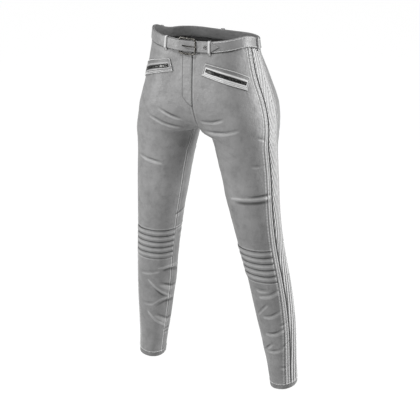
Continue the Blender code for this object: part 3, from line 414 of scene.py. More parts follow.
BACK_CREASES = (
    (((1.22, -0.2500), (1.45, -0.2680), (1.70, -0.2740), (1.92, -0.2660)), 1.6, 4.2, 1.0),
    (((1.30, -0.2820), (1.52, -0.2960), (1.78, -0.2960)), 1.0, 3.6, 0.7),
    (((1.55, -0.3300), (1.72, -0.3220), (1.90, -0.3060)), 0.8, 3.4, 0.5),
    (((1.24, -0.4040), (1.42, -0.4130), (1.66, -0.4110)), 0.8, 3.6, 0.6),
    (((1.25, -0.5220), (1.48, -0.5380), (1.80, -0.5330)), 1.5, 3.8, 1.1),
    (((1.35, -0.5660), (1.60, -0.5600), (1.92, -0.5740)), 1.8, 4.2, 1.2),
    (((1.22, -0.5860), (1.50, -0.5930), (1.86, -0.5880)), 1.4, 3.6, 1.0),
    (((1.30, -0.6250), (1.55, -0.6180), (1.84, -0.6290)), 1.2, 3.6, 0.9),
    (((1.30, -0.7060), (1.52, -0.7160), (1.76, -0.7100)), 0.9, 3.6, 0.7),
    (((1.28, -0.8230), (1.55, -0.8340), (1.74, -0.8290)), 1.1, 3.4, 0.8),
    (((1.32, -0.8780), (1.58, -0.8700), (1.84, -0.8830)), 1.2, 3.2, 0.9),
    (((1.24, -0.9160), (1.50, -0.9240), (1.82, -0.9190)), 1.1, 3.0, 0.9),
)
CREASES = {1: LEFT_CREASES + BACK_CREASES, -1: RIGHT_CREASES + BACK_CREASES}
print("creases:", len(CREASES[1]), "left,", len(CREASES[-1]), "right")


# %% Slow unevenness of a hide
def swell(points, wavelength, seed):
    """The mean of sixteen sine waves of one wavelength that run in seeded directions:
    soft hills of about -0.5 to 0.5."""
    draw = np.random.default_rng(seed)
    ways = draw.normal(size=(3, 16))
    ways *= 2 * np.pi / wavelength / np.linalg.norm(ways, axis=0)
    return np.sin(points @ ways + draw.uniform(0, 2 * np.pi, 16)).mean(-1) * 2


# %% [markdown]
# ## The panels
# Each panel is cut, sewn to its neighbours along seams that sink in, and topstitched on
# the seam allowance, which lies underneath and lifts the leather a little for 7 mm. So a
# panel's height is worked out from its distances to its four edges, and creases and
# slow unevenness are added. A Solidify modifier gives the leather its thickness inwards.

# %% Panel edges, as distances from the side line
REAR_EDGE = FRONT_EDGE + 2 * NARROW_BAND + RIBBED_BAND
FLY_EDGE, FLY_DRIFT = 0.0130, 0.0045


def fly_seam(z):
    """How far the front seam lies to the wearer's left of the centre: it drifts out
    under the fly and back to nothing at the crotch."""
    drift = FLY_DRIFT * ease((-z - 0.15) / 0.05)
    fade = 1.0 - ease((-z - 0.212) / (-CROTCH - 0.212))
    return np.where(z > CROTCH, (FLY_EDGE + drift) * fade, 0.0)


def q_at(z, w):
    """q at a distance w from the side line, also past the centre front."""
    reach = edge_reach(z, 0)
    s = w + reach
    return np.where(s < 0, -q_from_side(z, -s - reach), q_from_side(z, w))


# kind: top level, foot level
PANELS = {
    "thigh_front": (PANEL_TOP, KNEE_TOP + SEAM_GAP),
    "knee_ribs": (KNEE_TOP, KNEE_FOOT),
    "shin_front": (KNEE_FOOT - SEAM_GAP, HEM_TOP + SEAM_GAP),
    "side_band_front": (PANEL_TOP, HEM_TOP + SEAM_GAP),
    "side_ribs": (PANEL_TOP, HEM_TOP + SEAM_GAP),
    "side_band_rear": (PANEL_TOP, HEM_TOP + SEAM_GAP),
    "back_thigh": (PANEL_TOP, KNEE_TOP + SEAM_GAP),
    "back_shin": (KNEE_TOP, HEM_TOP + SEAM_GAP),
}
BAND_STARTS = {"side_band_front": FRONT_EDGE, "side_ribs": FRONT_EDGE + NARROW_BAND,
               "side_band_rear": REAR_EDGE - NARROW_BAND}


def panel_edges(kind, side, z):
    """A panel's front and rear edge at levels z, as distances from the side line."""
    if kind in BAND_STARTS:
        start = BAND_STARTS[kind]
        width = RIBBED_BAND if kind == "side_ribs" else NARROW_BAND
        return start + SEAM_GAP / 2 + 0 * z, start + width - SEAM_GAP / 2 + 0 * z
    if kind.startswith("back"):
        return REAR_EDGE + SEAM_GAP / 2 + 0 * z, edge_reach(z, -1) - SEAM_GAP / 2
    return (side * fly_seam(z) + SEAM_GAP / 2 - edge_reach(z, 0),
            FRONT_EDGE - SEAM_GAP / 2 + 0 * z)


# %% Seam shapes
def seam_dip(d, deep, wide):
    """-deep e^-(d/wide)^2 in millimetres: the edge turns down into the seam."""
    return -deep * MM * np.exp(-((d / (wide * MM)) ** 2))


def allowance(d, lift, wide=7.0):
    """The seam allowance under a panel lifts it by a plateau that ends in an S curve."""
    return lift * MM * (1 - ease((d / MM - wide + 2) / 2.5))


def bead(d, at, high, wide):
    """A raised line: high e^-((d - at)/wide)^2, all in millimetres."""
    return high * MM * np.exp(-(((d / MM - at) / wide) ** 2))


def hump(d, at, wide):
    """e^-((d - at)/wide)^2: 1 at one place, falling to nothing on both sides of it."""
    return np.exp(-((d - at) / wide) ** 2)


def pucker(d, run, seed):
    """Stitching gathers the leather a little: waves along the seam, about 9 mm long,
    that die away in 5 mm."""
    wave = np.sin(run * 2 * np.pi / 0.0087 + 2.5 * np.sin(run * 61 + seed))
    return 0.16 * MM * wave * hump(d, 0.004, 0.004)


# %% Ribs over the knee and down the side
RIB_HEIGHT = 0.0020
KNEE_HEIGHT = 0.0025


def knee_relief(z, front, rear):
    """Five padded ribs: each rises sharply under its upper groove, then falls slowly."""
    share = (KNEE_TOP - z) / KNEE_PITCH % 1.0
    shape = np.interp(share, (0, 0.05, 0.14, 0.30, 0.48, 0.78, 0.93, 1.0),
                      (0, 0.42, 0.84, 1.0, 0.99, 0.76, 0.40, 0.0))
    return KNEE_HEIGHT * shape * ease(front / 0.007 + 0.25) * ease(rear / 0.006 + 0.25)


# How steeply the ribs climb and how far apart they are, from the waist to the ankle
RIB_LEVELS = np.linspace(0.0, -1.0, 401)
RIB_TURN = np.radians(np.interp(-RIB_LEVELS, (0.0, 0.2, 0.45, 0.65, 1.0), (44, 52, 68, 84, 88)))
RIB_APART = np.interp(-RIB_LEVELS, (0.0, 0.3, 0.5, 0.7), (0.0076, 0.0080, 0.0092, 0.0110))
RIBS_ACROSS = np.sin(RIB_TURN) / RIB_APART
RIBS_DOWN = np.cumsum(np.cos(RIB_TURN) / RIB_APART) * 0.0025


def side_relief(z, front, rear):
    """Ribs that climb towards the back, ever steeper towards the ankle: the phase is the
    count of ribs down to this level, plus those across from the panel's middle, and the
    shape is sin(pi f)^0.7."""
    down = np.interp(-z, -RIB_LEVELS, RIBS_DOWN)
    across = np.interp(-z, -RIB_LEVELS, RIBS_ACROSS) * (front - rear) / 2
    phase = (down + across) % 1.0
    return RIB_HEIGHT * np.sin(np.pi * phase) ** 0.7 * ease(front / 0.003) * ease(rear / 0.003)


# %% The height of each kind of panel
# A panel is tinted by its height: painted highlight where it stands over a middle height,
# painted shade where it lies under it by up to TINT_DEPTH, in seams, folds and grooves. The
# middle heights are in millimetres. They are low for the two plain bands, which therefore
# look paler all over, as if the light fell there.
TINT_DEPTH = 1.3 * MM
MIDDLE_HEIGHT = {"knee_ribs": 2.05, "side_ribs": 1.30, "side_band_rear": -0.7,
                 "side_band_front": -0.25}
# Slanting ribs are tinted more strongly, and folds within limits of their own. The backs
# are darkened near the inseam, where in the photograph little light arrives.
RIB_TINT, FOLD_TINT, FOLD_DARKEST, FOLD_PALEST = 1.9, 1.3, -1.3 * MM, 0.45 * MM
INSEAM_SHADE, INSEAM_REACH = 0.5 * MM, 0.050
STRIP_CALM = 0.45  # how much of a crease and of the hide's unevenness a narrow strip has


def relief(kind, side, z, w):
    """Height over the body surface at (z, w), and the height that the painted shade and highlight
    go by.
    """
    front_w, rear_w = panel_edges(kind, side, z)
    top, foot = PANELS[kind]
    front, rear, upper, lower = w - front_w, rear_w - w, top - z, z - foot
    q = q_at(z, w)
    points = surface(z, q)
    dip = (0.9, 0.8) if kind in BAND_STARTS else (1.1, 1.3)
    detail = seam_dip(front, *dip) + seam_dip(rear, *dip)
    if kind in ("thigh_front", "knee_ribs", "shin_front"):
        torso = ease((z - CROTCH) / 0.004)
        detail += bead(front, 2.2, 1.5, 1.7) * (1 - torso) + allowance(front, 0.25) * torso
        detail += allowance(rear, 0.5) + pucker(rear, z, side)
    elif kind == "side_band_front":
        detail += bead(front, 4.4, 1.0, 1.9) + bead(rear, 4.4, 1.0, 1.9)
        detail += pucker(front, z, 2 + side)
    elif kind == "side_band_rear":
        detail += bead(front, 3.6, 0.5, 2.0) + pucker(front, z, 5 + side)
    elif kind.startswith("back"):
        detail += allowance(front, 0.5) + allowance(rear, 0.6) + pucker(front, z, 7 + side)
    if kind == "knee_ribs":
        detail += knee_relief(z, front, rear)
    if kind == "side_ribs":
        detail += side_relief(z, front, rear)
    if kind in ("thigh_front", "back_thigh"):
        detail += seam_dip(lower, 1.0, 1.6) + allowance(lower, 0.4)
    if kind in ("shin_front", "back_shin"):
        detail += seam_dip(upper, 1.0, 1.6) + allowance(upper, 0.4)
    if foot < KNEE_FOOT:
        detail += seam_dip(lower, 0.7, 1.2) + allowance(lower, 0.5, 5.0)
    if top > KNEE_TOP:
        detail += seam_dip(upper, 0.8, 1.5)
    normals = outward(z, q)
    calm = STRIP_CALM if kind in BAND_STARTS else 1.0
    folds = 0.0
    for places, depth, wide, lip in CREASES[side]:
        folds = folds + calm * crease(points, normals, places, depth, wide, lip)
    where = points * np.array((side, 1, 1))
    slow = 0.9 * MM * swell(where, 0.075, 3) + 0.35 * MM * swell(where, 0.028, 4)
    quiet = ease(np.minimum(np.minimum(front, rear), np.minimum(upper, lower)) / 0.02)
    # Painted light: below its middle height the leather gets painted shade, in seams, grooves and
    # folds, and above it a painted highlight.
    tint_amount = detail - MIDDLE_HEIGHT.get(kind, 0.0) * MM
    if kind == "side_ribs":
        tint_amount = tint_amount * RIB_TINT
    # Folds add painted shade in their troughs and a painted highlight on their lips and ridges.
    tint_amount = tint_amount + np.clip(FOLD_TINT * folds, FOLD_DARKEST, FOLD_PALEST)
    if kind.startswith("back"):
        tint_amount = tint_amount - INSEAM_SHADE * hump(rear, 0.0, INSEAM_REACH)
    return detail + folds + calm * slow * quiet, tint_amount


def place(kind, side, z, w):
    """Points of a finished panel, and its normals there."""
    height, _ = relief(kind, side, z, w)
    q = q_at(z, w)
    flip = np.array((side, 1, 1))
    return body(z, q, height) * flip, outward(z, q) * flip


# %% [markdown]
# ## Materials
# Nearly everything here is one hide, so its material does most of the work. Each material
# is a few nodes on Object coordinates, and every pattern's scale is worked out from a real
# size. One small function adds a node with its settings and its links.

# %% Node and colour helpers
def srgb(code):
    """A colour from its hex code, made linear as the sRGB standard says."""
    parts = np.array([int(code[k:k + 2], 16) for k in (1, 3, 5)]) / 255
    linear = np.where(parts <= 0.04045, parts / 12.92, ((parts + 0.055) / 1.055) ** 2.4)
    return (*(float(v) for v in linear), 1.0)


def add_node(tree, kind, settings=(), links=()):
    """A node with its settings (a property's name, or an input's name or number) and
    links (an input, and the socket that feeds it)."""
    made = tree.nodes.new(kind)
    for key, value in dict(settings).items():
        if isinstance(key, int) or key in made.inputs:
            made.inputs[key].default_value = value
        else:
            setattr(made, key, value)
    for key, socket in dict(links).items():
        tree.links.new(socket, made.inputs[key])
    return made


def new_material(name, colour, roughness, metallic=0.0):
    """A material's name, its tree and its Principled shader."""
    made = bpy.data.materials.new(name)
    made.use_nodes = True
    shader = made.node_tree.nodes["Principled BSDF"]
    shader.inputs["Base Color"].default_value = srgb(colour)
    shader.inputs["Roughness"].default_value = roughness
    shader.inputs["Metallic"].default_value = metallic
    return made, made.node_tree, shader


def noise(tree, where, size, detail=2.0, rough=0.5):
    """Noise whose blotches are about size metres across."""
    return add_node(tree, "ShaderNodeTexNoise",
                    {"Scale": 1.0 / size, "Detail": detail, "Roughness": rough},
                    {"Vector": where}).outputs["Fac"]


def remap(tree, value, low, high, to_low=0.0, to_high=1.0):
    """value read on a straight line from (low, to_low) to (high, to_high), clamped."""
    return add_node(tree, "ShaderNodeMapRange", {"From Min": low, "From Max": high,
                    "To Min": to_low, "To Max": to_high}, {"Value": value}).outputs[0]


def calculate(tree, operation, a, b):
    """One sum of two sockets or numbers."""
    numbers = {k: v for k, v in enumerate((a, b)) if isinstance(v, float)}
    sockets = {k: v for k, v in enumerate((a, b)) if k not in numbers}
    return add_node(tree, "ShaderNodeMath", {"operation": operation, **numbers},
                    sockets).outputs[0]


def mix_colour(tree, factor, a, b):
    """A mix of two colours, each a hex code or a socket."""
    settings, links = {"data_type": "RGBA"}, {0: factor}
    for key, value in ((6, a), (7, b)):
        if isinstance(value, str):
            settings[key] = srgb(value)
        else:
            links[key] = value
    return add_node(tree, "ShaderNodeMix", settings, links).outputs[2]


def object_place(tree):
    """The Object coordinates, in metres."""
    return add_node(tree, "ShaderNodeTexCoord").outputs["Object"]


def add_bump(tree, shader, height, distance):
    """Feeds the shader's normal from a height, of which 1 stands for a distance."""
    bump = add_node(tree, "ShaderNodeBump", {"Strength": 1.0, "Distance": distance},
                    {"Height": height})
    tree.links.new(bump.outputs["Normal"], shader.inputs["Normal"])


# %% [markdown]
# ### Cowhide
# Drum-dyed full-grain cowhide, 1.5 mm, with a matt finish: rough enough to look chalky in
# soft light, with a faint sheen at a glancing angle. The eye sees cloudy dye over a hand's
# breadth, small blotches and marks and a pebbled grain. On top of that, painted highlight
# makes the leather paler where it stands up, and painted shade darkens it where it sinks into
# seams and folds. The real pebbles are about 1 mm; they are drawn at 2.6 mm, because finer
# ones would not show in the render.

# %% Cowhide
CLOUD, BLOTCH, MARK, PEBBLE, WRINKLE = 0.080, 0.024, 0.0065, 0.0026, 0.0085


def cowhide(name, base, pale, dark, painted_highlight, roughness, grain=0.16):
    """The hide's material; grain is the pebbles' height in millimetres."""
    made, tree, shader = new_material(name, base, roughness)
    where = object_place(tree)
    cloud, blotch = noise(tree, where, CLOUD, 3.0), noise(tree, where, BLOTCH, 5.0, 0.68)
    colour = mix_colour(tree, remap(tree, cloud, 0.35, 0.65, 0.0, 0.60), base, pale)
    colour = mix_colour(tree, remap(tree, blotch, 0.46, 0.80, 0.0, 0.40), colour, dark)
    marks = noise(tree, where, MARK, 1.0)
    colour = mix_colour(tree, remap(tree, marks, 0.73, 0.80, 0.0, 0.22), colour, dark)
    # Painted light from the 'sunk' attribute: painted shade in the dark colour where the leather
    # sinks into seams and folds, and below zero a painted highlight where it stands up.
    sunk = add_node(tree, "ShaderNodeAttribute", {"attribute_name": "sunk"}).outputs["Fac"]
    colour = mix_colour(tree, remap(tree, sunk, 0.10, 0.90, 0.0, 0.85), colour, dark)
    colour = mix_colour(tree, remap(tree, sunk, -0.12, -0.9, 0.0, 0.85), colour, painted_highlight)
    tree.links.new(colour, shader.inputs["Base Color"])

    pebbles = add_node(tree, "ShaderNodeTexVoronoi", {"Scale": 1 / PEBBLE, "Randomness": 1.0},
                       {"Vector": where}).outputs["Distance"]
    wrinkles = noise(tree, where, WRINKLE, 2.0, 0.6)
    height = calculate(tree, "ADD", calculate(tree, "MULTIPLY", pebbles, -grain * MM * 1.4),
                       calculate(tree, "MULTIPLY", wrinkles, 1.05 * MM))
    add_bump(tree, shader, height, 1.0)
    tree.links.new(remap(tree, blotch, 0.3, 0.7, roughness - 0.07, roughness + 0.07),
                   shader.inputs["Roughness"])
    return made


HIDE = cowhide("cowhide_matt_grey", "#6c6c6c", "#7e7e7e", "#2c2c2c", "#bcbcbc", 0.50)
BELT_HIDE = cowhide("belt_leather_grey", "#686868", "#767676", "#363636", "#909090", 0.42, 0.08)
FLESH = cowhide("flesh_side_grey", "#3c3c3c", "#4c4c4c", "#242424", "#4c4c4c", 0.85, 0.05)

# %% [markdown]
# ### Thread, zip tape and metal
# The thread is bonded polyester, a shade paler than the hide. The zip's tape is woven
# polyester; its twill, really about 0.6 mm, is drawn at about 3 mm. Its teeth, slider and
# pull are zinc, plated dull black and worn; the buckle is nickel-plated zinc, polished
# once and dull now.

# %% Thread, tape and metal
THREAD, tree, shader = new_material("polyester_thread", "#b8b8b8", 0.55)
shader.inputs["Sheen Weight"].default_value = 0.3
where = object_place(tree)
twist = remap(tree, noise(tree, where, 0.0012, 1.0), 0.35, 0.65)
tree.links.new(mix_colour(tree, twist, "#a0a0a0", "#cccccc"), shader.inputs["Base Color"])

TAPE, tree, shader = new_material("zip_tape_polyester", "#303030", 0.9)
where = object_place(tree)
weave = add_node(tree, "ShaderNodeTexWave", {"Scale": 1 / 0.0012 / 6.28, "Distortion": 0.4,
                 "bands_direction": "DIAGONAL"}, {"Vector": where}).outputs["Fac"]
tree.links.new(mix_colour(tree, weave, "#242424", "#404040"), shader.inputs["Base Color"])
add_bump(tree, shader, weave, 0.1 * MM)


def plated(name, base, worn, roughness):
    """A plated metal: the plating, and paler metal where fine scratches and handling
    have worn it; scratches are stretched noise 0.4 mm apart."""
    made, tree, shader = new_material(name, base, roughness, 1.0)
    where = object_place(tree)
    stretched = add_node(tree, "ShaderNodeMapping", {"Scale": (1.0, 1.0, 0.12)},
                         {"Vector": where}).outputs["Vector"]
    scratch = noise(tree, stretched, 0.0004, 2.0)
    tint_amount = noise(tree, where, 0.004, 2.0)
    colour = mix_colour(tree, remap(tree, tint_amount, 0.45, 0.70), base, worn)
    tree.links.new(colour, shader.inputs["Base Color"])
    tree.links.new(remap(tree, scratch, 0.3, 0.7, roughness - 0.08, roughness + 0.12),
                   shader.inputs["Roughness"])
    add_bump(tree, shader, scratch, 0.02 * MM)
    return made


NICKEL = plated("nickel_plated_zinc", "#33322f", "#6a6865", 0.30)
BLACK_ZINC = plated("black_plated_zinc", "#3a3a3a", "#8a8a88", 0.38)
print("materials:", ", ".join(m.name for m in (HIDE, BELT_HIDE, FLESH, THREAD, TAPE, NICKEL,
                                            BLACK_ZINC)))

# %% [markdown]
# ## Making a mesh from a grid
# Every surface here is a grid of points, so one function turns a grid into a mesh, and
# another gives it its leather thickness and its place among the solid model's nodes.

# %% Grid to mesh
def grid_quads(rows, cols, wrap_rows=False, wrap_cols=False):
    """Quads over a grid of point numbers, closed round either way if asked."""
    ids = np.arange(rows * cols).reshape(rows, cols)
    if wrap_rows:
        ids = np.concatenate([ids, ids[:1]])
    if wrap_cols:
        ids = np.concatenate([ids, ids[:, :1]], axis=1)
    return np.stack([ids[:-1, :-1], ids[1:, :-1], ids[1:, 1:], ids[:-1, 1:]], -1).reshape(-1, 4)


def new_piece(name, points, quads, material, sunk=None, flip=False):
    """A smooth mesh object of quads, riding on the trousers; flip turns its faces."""
    mesh = bpy.data.meshes.new(name)
    points, quads = np.asarray(points, float).reshape(-1, 3), np.asarray(quads)
    quads = quads[:, ::-1] if flip else quads
    mesh.vertices.add(len(points))
    mesh.vertices.foreach_set("co", points.astype(np.float32).ravel())
    mesh.loops.add(quads.size)
    mesh.loops.foreach_set("vertex_index", quads.astype(np.int32).ravel())
    mesh.polygons.add(len(quads))
    starts = np.arange(0, quads.size, quads.shape[1], dtype=np.int32)
    mesh.polygons.foreach_set("loop_start", starts)
    mesh.polygons.foreach_set("use_smooth", np.ones(len(quads), bool))
    mesh.update(calc_edges=True)
    mesh.validate()
    if sunk is not None:
        made = mesh.attributes.new("sunk", "FLOAT", "POINT")
        made.data.foreach_set("value", np.asarray(sunk, np.float32).ravel())
    mesh.materials.append(material)
    piece = bpy.data.objects.new(name, mesh)
    bpy.context.scene.collection.objects.link(piece)
    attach(piece, "root")
    return piece


def give_thickness(piece, thick):
    """Solidify inwards; the inside is the hide's flesh side."""
    piece.data.materials.append(FLESH)
    wall = piece.modifiers.new("leather", "SOLIDIFY")
    wall.thickness, wall.offset, wall.material_offset = thick, -1.0, 1


# %% Spacing of rows and columns
def spaced(length, step):
    """Shares from 0 to 1, close together at both ends, where the seams' shapes are."""
    fine = np.array((0, 0.35, 0.8, 1.3, 1.9, 2.6, 3.5, 4.8, 6.5)) * MM
    fine = fine[fine < length / 2 - step / 2]
    count = max(2, int(round((length - 2 * fine[-1]) / step)) + 1)
    middle = np.linspace(fine[-1], length - fine[-1], count)
    return np.r_[fine[:-1], middle, length - fine[-2::-1]] / length


def make_panel(kind, side, word, step_down=0.0025, step_across=0.0025):
    """One leather panel: its grid, its heights and its thickness."""
    top, foot = PANELS[kind]
    z = top - (top - foot) * spaced(top - foot, step_down)
    front, rear = panel_edges(kind, side, z)
    width = float((rear - front).mean())
    share = spaced(width, step_across)
    w = front[:, None] + (rear - front)[:, None] * share
    z = np.repeat(z[:, None], len(share), axis=1)
    height, tint_amount = relief(kind, side, z, w)
    points = body(z, q_at(z, w), height) * np.array((side, 1, 1))
    piece = new_piece("leather_%s_%s" % (kind, word), points, grid_quads(*z.shape), HIDE,
                      -tint_amount / TINT_DEPTH, flip=side < 0)
    give_thickness(piece, LEATHER)
    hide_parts("%s_%s" % (kind, word))


# %% Make the panels
STEPS = {"knee_ribs": (0.0012, 0.0025), "side_ribs": (0.0019, 0.0011),
         "side_band_front": (0.0030, 0.0014), "side_band_rear": (0.0030, 0.0014)}
for side, word in SIDES:
    for kind in PANELS:
        make_panel(kind, side, word, *STEPS.get(kind, ()))


# %% [markdown]
# ## Hems
# Each leg ends in a band 12 mm high, turned up and sewn. It is a ring whose section is a
# rounded fold: a closed profile carried round the ankle.

# %% Hems
HEM_TINT = 0.35  # a little darker than the legs


def fold_profile(high, thick, count=7):
    """A closed section of a folded band, as (height, off) pairs: straight sides and
    half circles at the top and the foot, anticlockwise seen with out to the right."""
    r = thick / 2
    turn = np.linspace(0, np.pi, count)
    upper = np.stack([high / 2 - r + r * np.sin(turn), r * np.cos(turn)], -1)
    lower = np.stack([-high / 2 + r - r * np.sin(turn), -r * np.cos(turn)], -1)
    sides = np.linspace(high / 2 - r, -high / 2 + r, 8)[1:-1]
    inner = np.stack([sides, 0 * sides - r], -1)
    outer = np.stack([sides[::-1], 0 * sides + r], -1)
    return np.concatenate([upper, inner, lower, outer])


def make_hem(side, word):
    """Heights and distances out from the profile, carried round all q."""
    profile = fold_profile(HEM_TOP - HEM, 0.0024)
    q = np.linspace(0, 2, 141)[:-1]
    z = (HEM_TOP + HEM) / 2 + profile[:, :1] + 0 * q
    gather = 0.18 * MM * np.sin(q * 61 + 2 * np.sin(q * 9)) + 0.12 * MM * np.sin(q * 23)
    off = profile[:, 1:] - 0.0006 + gather
    points = body(z, q + 0 * z, off) * np.array((side, 1, 1))
    piece = new_piece("leather_hem_" + word, points, grid_quads(*z.shape, True, True), HIDE,
                      HEM_TINT + 0 * z, flip=side > 0)
    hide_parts("hem_band_" + word)


for side, word in SIDES:
    make_hem(side, word)

# %% [markdown]
# ## Waistband, belt and loops
# The waistband is a folded band, and the belt is one strap that lies on it all the way
# round, so both are a closed section carried along the waist. A place there is named by
# a, the distance round from the centre front to the wearer's left, h, the height over the
# belt's middle, and the distance off the band.

# %% Places on the waist
MID_BAND = -BAND_HEIGHT / 2
HALF_WAIST = float(edge_reach(MID_BAND, 0) + edge_reach(MID_BAND, -1))
STRAP_LIFT = ((0.083, 0.0030), (0.0200, 0.0030), (0.0080, 0.0036), (-0.0110, 0.0058),
              (-0.0225, 0.0063), (-0.0360, 0.0050), (-0.0850, 0.0004), (-0.1000, 0.0004))
BELT_WIDTH, BELT_THICK = 0.026, 0.0022
TIP, TIP_SHOULDER, BUCKLE_PASSED, UNDER_END = 0.083, 0.061, -0.12, -0.0185
PRONG_SLOT, SPARE_HOLE, STRAP_CROWN = -0.0070, 0.0498, 0.12


def at_waist(a, h, off):
    """Points at a, h and off; a may pass the centre back, where it goes on."""
    a, h, off = np.broadcast_arrays(*(np.asarray(v, float) for v in (a, h, off)))
    lap = (a + HALF_WAIST) % (2 * HALF_WAIST) - HALF_WAIST
    q = q_from_front(np.full(a.shape, MID_BAND), np.abs(lap))
    p = body(MID_BAND + h, q, off)
    p[..., 0] *= np.where(lap < 0, -1.0, 1.0)
    return p


def out_of_waist(a, h):
    """Unit directions out of the band."""
    return unit(at_waist(a, h, 0.002) - at_waist(a, h, 0.0))


def strap_lift(a):
    """How far the strap's inner face stands off the band, on its upper lap."""
    a = np.asarray(a, float)
    lift = np.array(STRAP_LIFT)
    return np.where(a < lift[-1, 0], lift[-1, 1], hermite(-lift[:, 0], lift[:, 1], -a))


# %% Waistband
def make_waistband():
    """The band's folded section at 360 places round the waist, closed on itself."""
    profile = fold_profile(BAND_HEIGHT, BAND_THICK, 9)
    a = np.linspace(-HALF_WAIST, HALF_WAIST, 361)[:-1]
    h = profile[:, :1] + 0 * a
    wave = 0.15 * MM * np.sin(a * 2 * np.pi / 0.031) * np.sin(a * 17)
    points = at_waist(a + 0 * h, h, profile[:, 1:] - BAND_THICK / 2 - 0.0001 + wave)
    piece = new_piece("leather_waistband", points, grid_quads(*h.shape, True, True), HIDE,
                      flip=True)
    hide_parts("waistband")
    print(piece.name, "%.0f mm round" % (2 * HALF_WAIST / MM))


make_waistband()


# %% Closing a tube, and cutting holes
def close_ends(piece):
    """Fills the open ends of a tube and turns all its faces outwards."""
    work = bmesh.new()
    work.from_mesh(piece.data)
    bmesh.ops.holes_fill(work, edges=[e for e in work.edges if e.is_boundary])
    bmesh.ops.recalc_face_normals(work, faces=work.faces)
    if work.calc_volume(signed=True) < 0:
        bmesh.ops.reverse_faces(work, faces=work.faces)
    work.to_mesh(piece.data)
    work.free()


def cut_through(piece, holes):
    """Cuts round-ended holes (middle a, length, width) through the strap's upper lap
    with one Boolean, and applies it."""
    work = bmesh.new()
    turn = np.linspace(-np.pi / 2, np.pi / 2, 12)[:-1]
    for a, long, wide in holes:
        middle, out = at_waist(a, 0.0, float(strap_lift(a))), out_of_waist(a, 0.0)
        x = at_waist(a + 0.003, 0.0, 0.004) - at_waist(a - 0.003, 0.0, 0.004)
        x = x - out * float(x @ out)
        x /= np.linalg.norm(x)
        half = (long - wide) / 2
        u = np.r_[half + np.cos(turn) * wide / 2, -half - np.cos(turn) * wide / 2]
        v = np.r_[np.sin(turn), -np.sin(turn)] * wide / 2
        rim = middle + u[:, None] * x + v[:, None] * np.cross(out, x)
        low = [work.verts.new(p) for p in rim - out * 0.00015]
        high = [work.verts.new(p) for p in rim + out * 0.0036]
        work.faces.new(low[::-1])
        work.faces.new(high)
        for k in range(len(low)):
            n = (k + 1) % len(low)
            work.faces.new((low[k], low[n], high[n], high[k]))
    mesh = bpy.data.meshes.new("punch")
    work.to_mesh(mesh)
    work.free()
    cutter = bpy.data.objects.new("punch", mesh)
    bpy.context.scene.collection.objects.link(cutter)
    cut = piece.modifiers.new("punch", "BOOLEAN")
    cut.operation, cut.object, cut.solver = "DIFFERENCE", cutter, "MANIFOLD"
    done = bpy.data.meshes.new_from_object(piece.evaluated_get(
        bpy.context.evaluated_depsgraph_get()))
    piece.modifiers.clear()
    piece.data = done
    bpy.data.objects.remove(cutter)


def make_strap():
    """A rounded section carried along the waist from the tip, right round, and back
    under the buckle; the half width narrows to the point at the tip."""
    end = UNDER_END - 2 * HALF_WAIST
    a = np.r_[np.linspace(TIP, TIP_SHOULDER, 12)[:-1],
              np.linspace(TIP_SHOULDER, BUCKLE_PASSED, 110)[:-1],
              np.linspace(BUCKLE_PASSED, end, 230)]
    half = np.clip((TIP - a) / (TIP - TIP_SHOULDER), 0.04, 1.0) * BELT_WIDTH / 2
    turn = np.linspace(0, np.pi, 7)
    r = BELT_THICK / 2
    flat = np.linspace(1, -1, 13)[1:-1]
    rows = [((half - r) + r * math.sin(t), r * math.cos(t)) for t in turn]
    rows += [((half - r) * f, -r) for f in flat]
    rows += [(-(half - r) - r * math.sin(t), -r * math.cos(t)) for t in turn]
    rows += [((half - r) * f, r * (1 + STRAP_CROWN * (1 - f * f))) for f in flat[::-1]]
    h = np.array([row[0] for row in rows])
    off = np.array([row[1] + 0 * a for row in rows]) + strap_lift(a) + r
    points = at_waist(a + 0 * h, h, off)
    piece = new_piece("belt_strap_leather", points, grid_quads(*h.shape, True), BELT_HIDE)
    close_ends(piece)
    cut_through(piece, ((PRONG_SLOT, 0.0120, 0.0036), (SPARE_HOLE, 0.0046, 0.0046)))
    piece.data.shade_smooth()
    piece.data.set_sharp_from_angle(angle=math.radians(50))
    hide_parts("belt_strap")
    print(piece.name, "%.0f mm long" % ((TIP - end) / MM))


make_strap()


# %% Belt loops
LOOP_WIDTH, LOOP_THICK, LOOP_TAIL, LAY_ON = 0.008, 0.0014, 0.006, 0.0009
LOOP_TINT = -0.8  # paler along the middle, where the rounded strip catches the light
LOOPS = (("front_left", 0.0590, 0.0), ("front_right", -0.0600, 0.0),
         ("side_left", 0.2070, 1.0), ("side_right", -0.2070, 1.0), ("back", HALF_WAIST, 0.0))


def section_path(corners, steps=6):
    """Round corners: at each inner corner the path runs on a parabola from 35% before it
    to 35% after it."""
    corners = np.array(corners)
    before = corners[1:-1] + 0.35 * (corners[:-2] - corners[1:-1])
    after = corners[1:-1] + 0.35 * (corners[2:] - corners[1:-1])
    t = np.linspace(0, 1, steps)[None, :, None]
    bends = (before[:, None] * (1 - t)**2 + 2 * corners[1:-1][:, None] * t * (1 - t)
             + after[:, None] * t**2)
    return np.concatenate([corners[:1], bends.reshape(-1, 2), corners[-1:]])


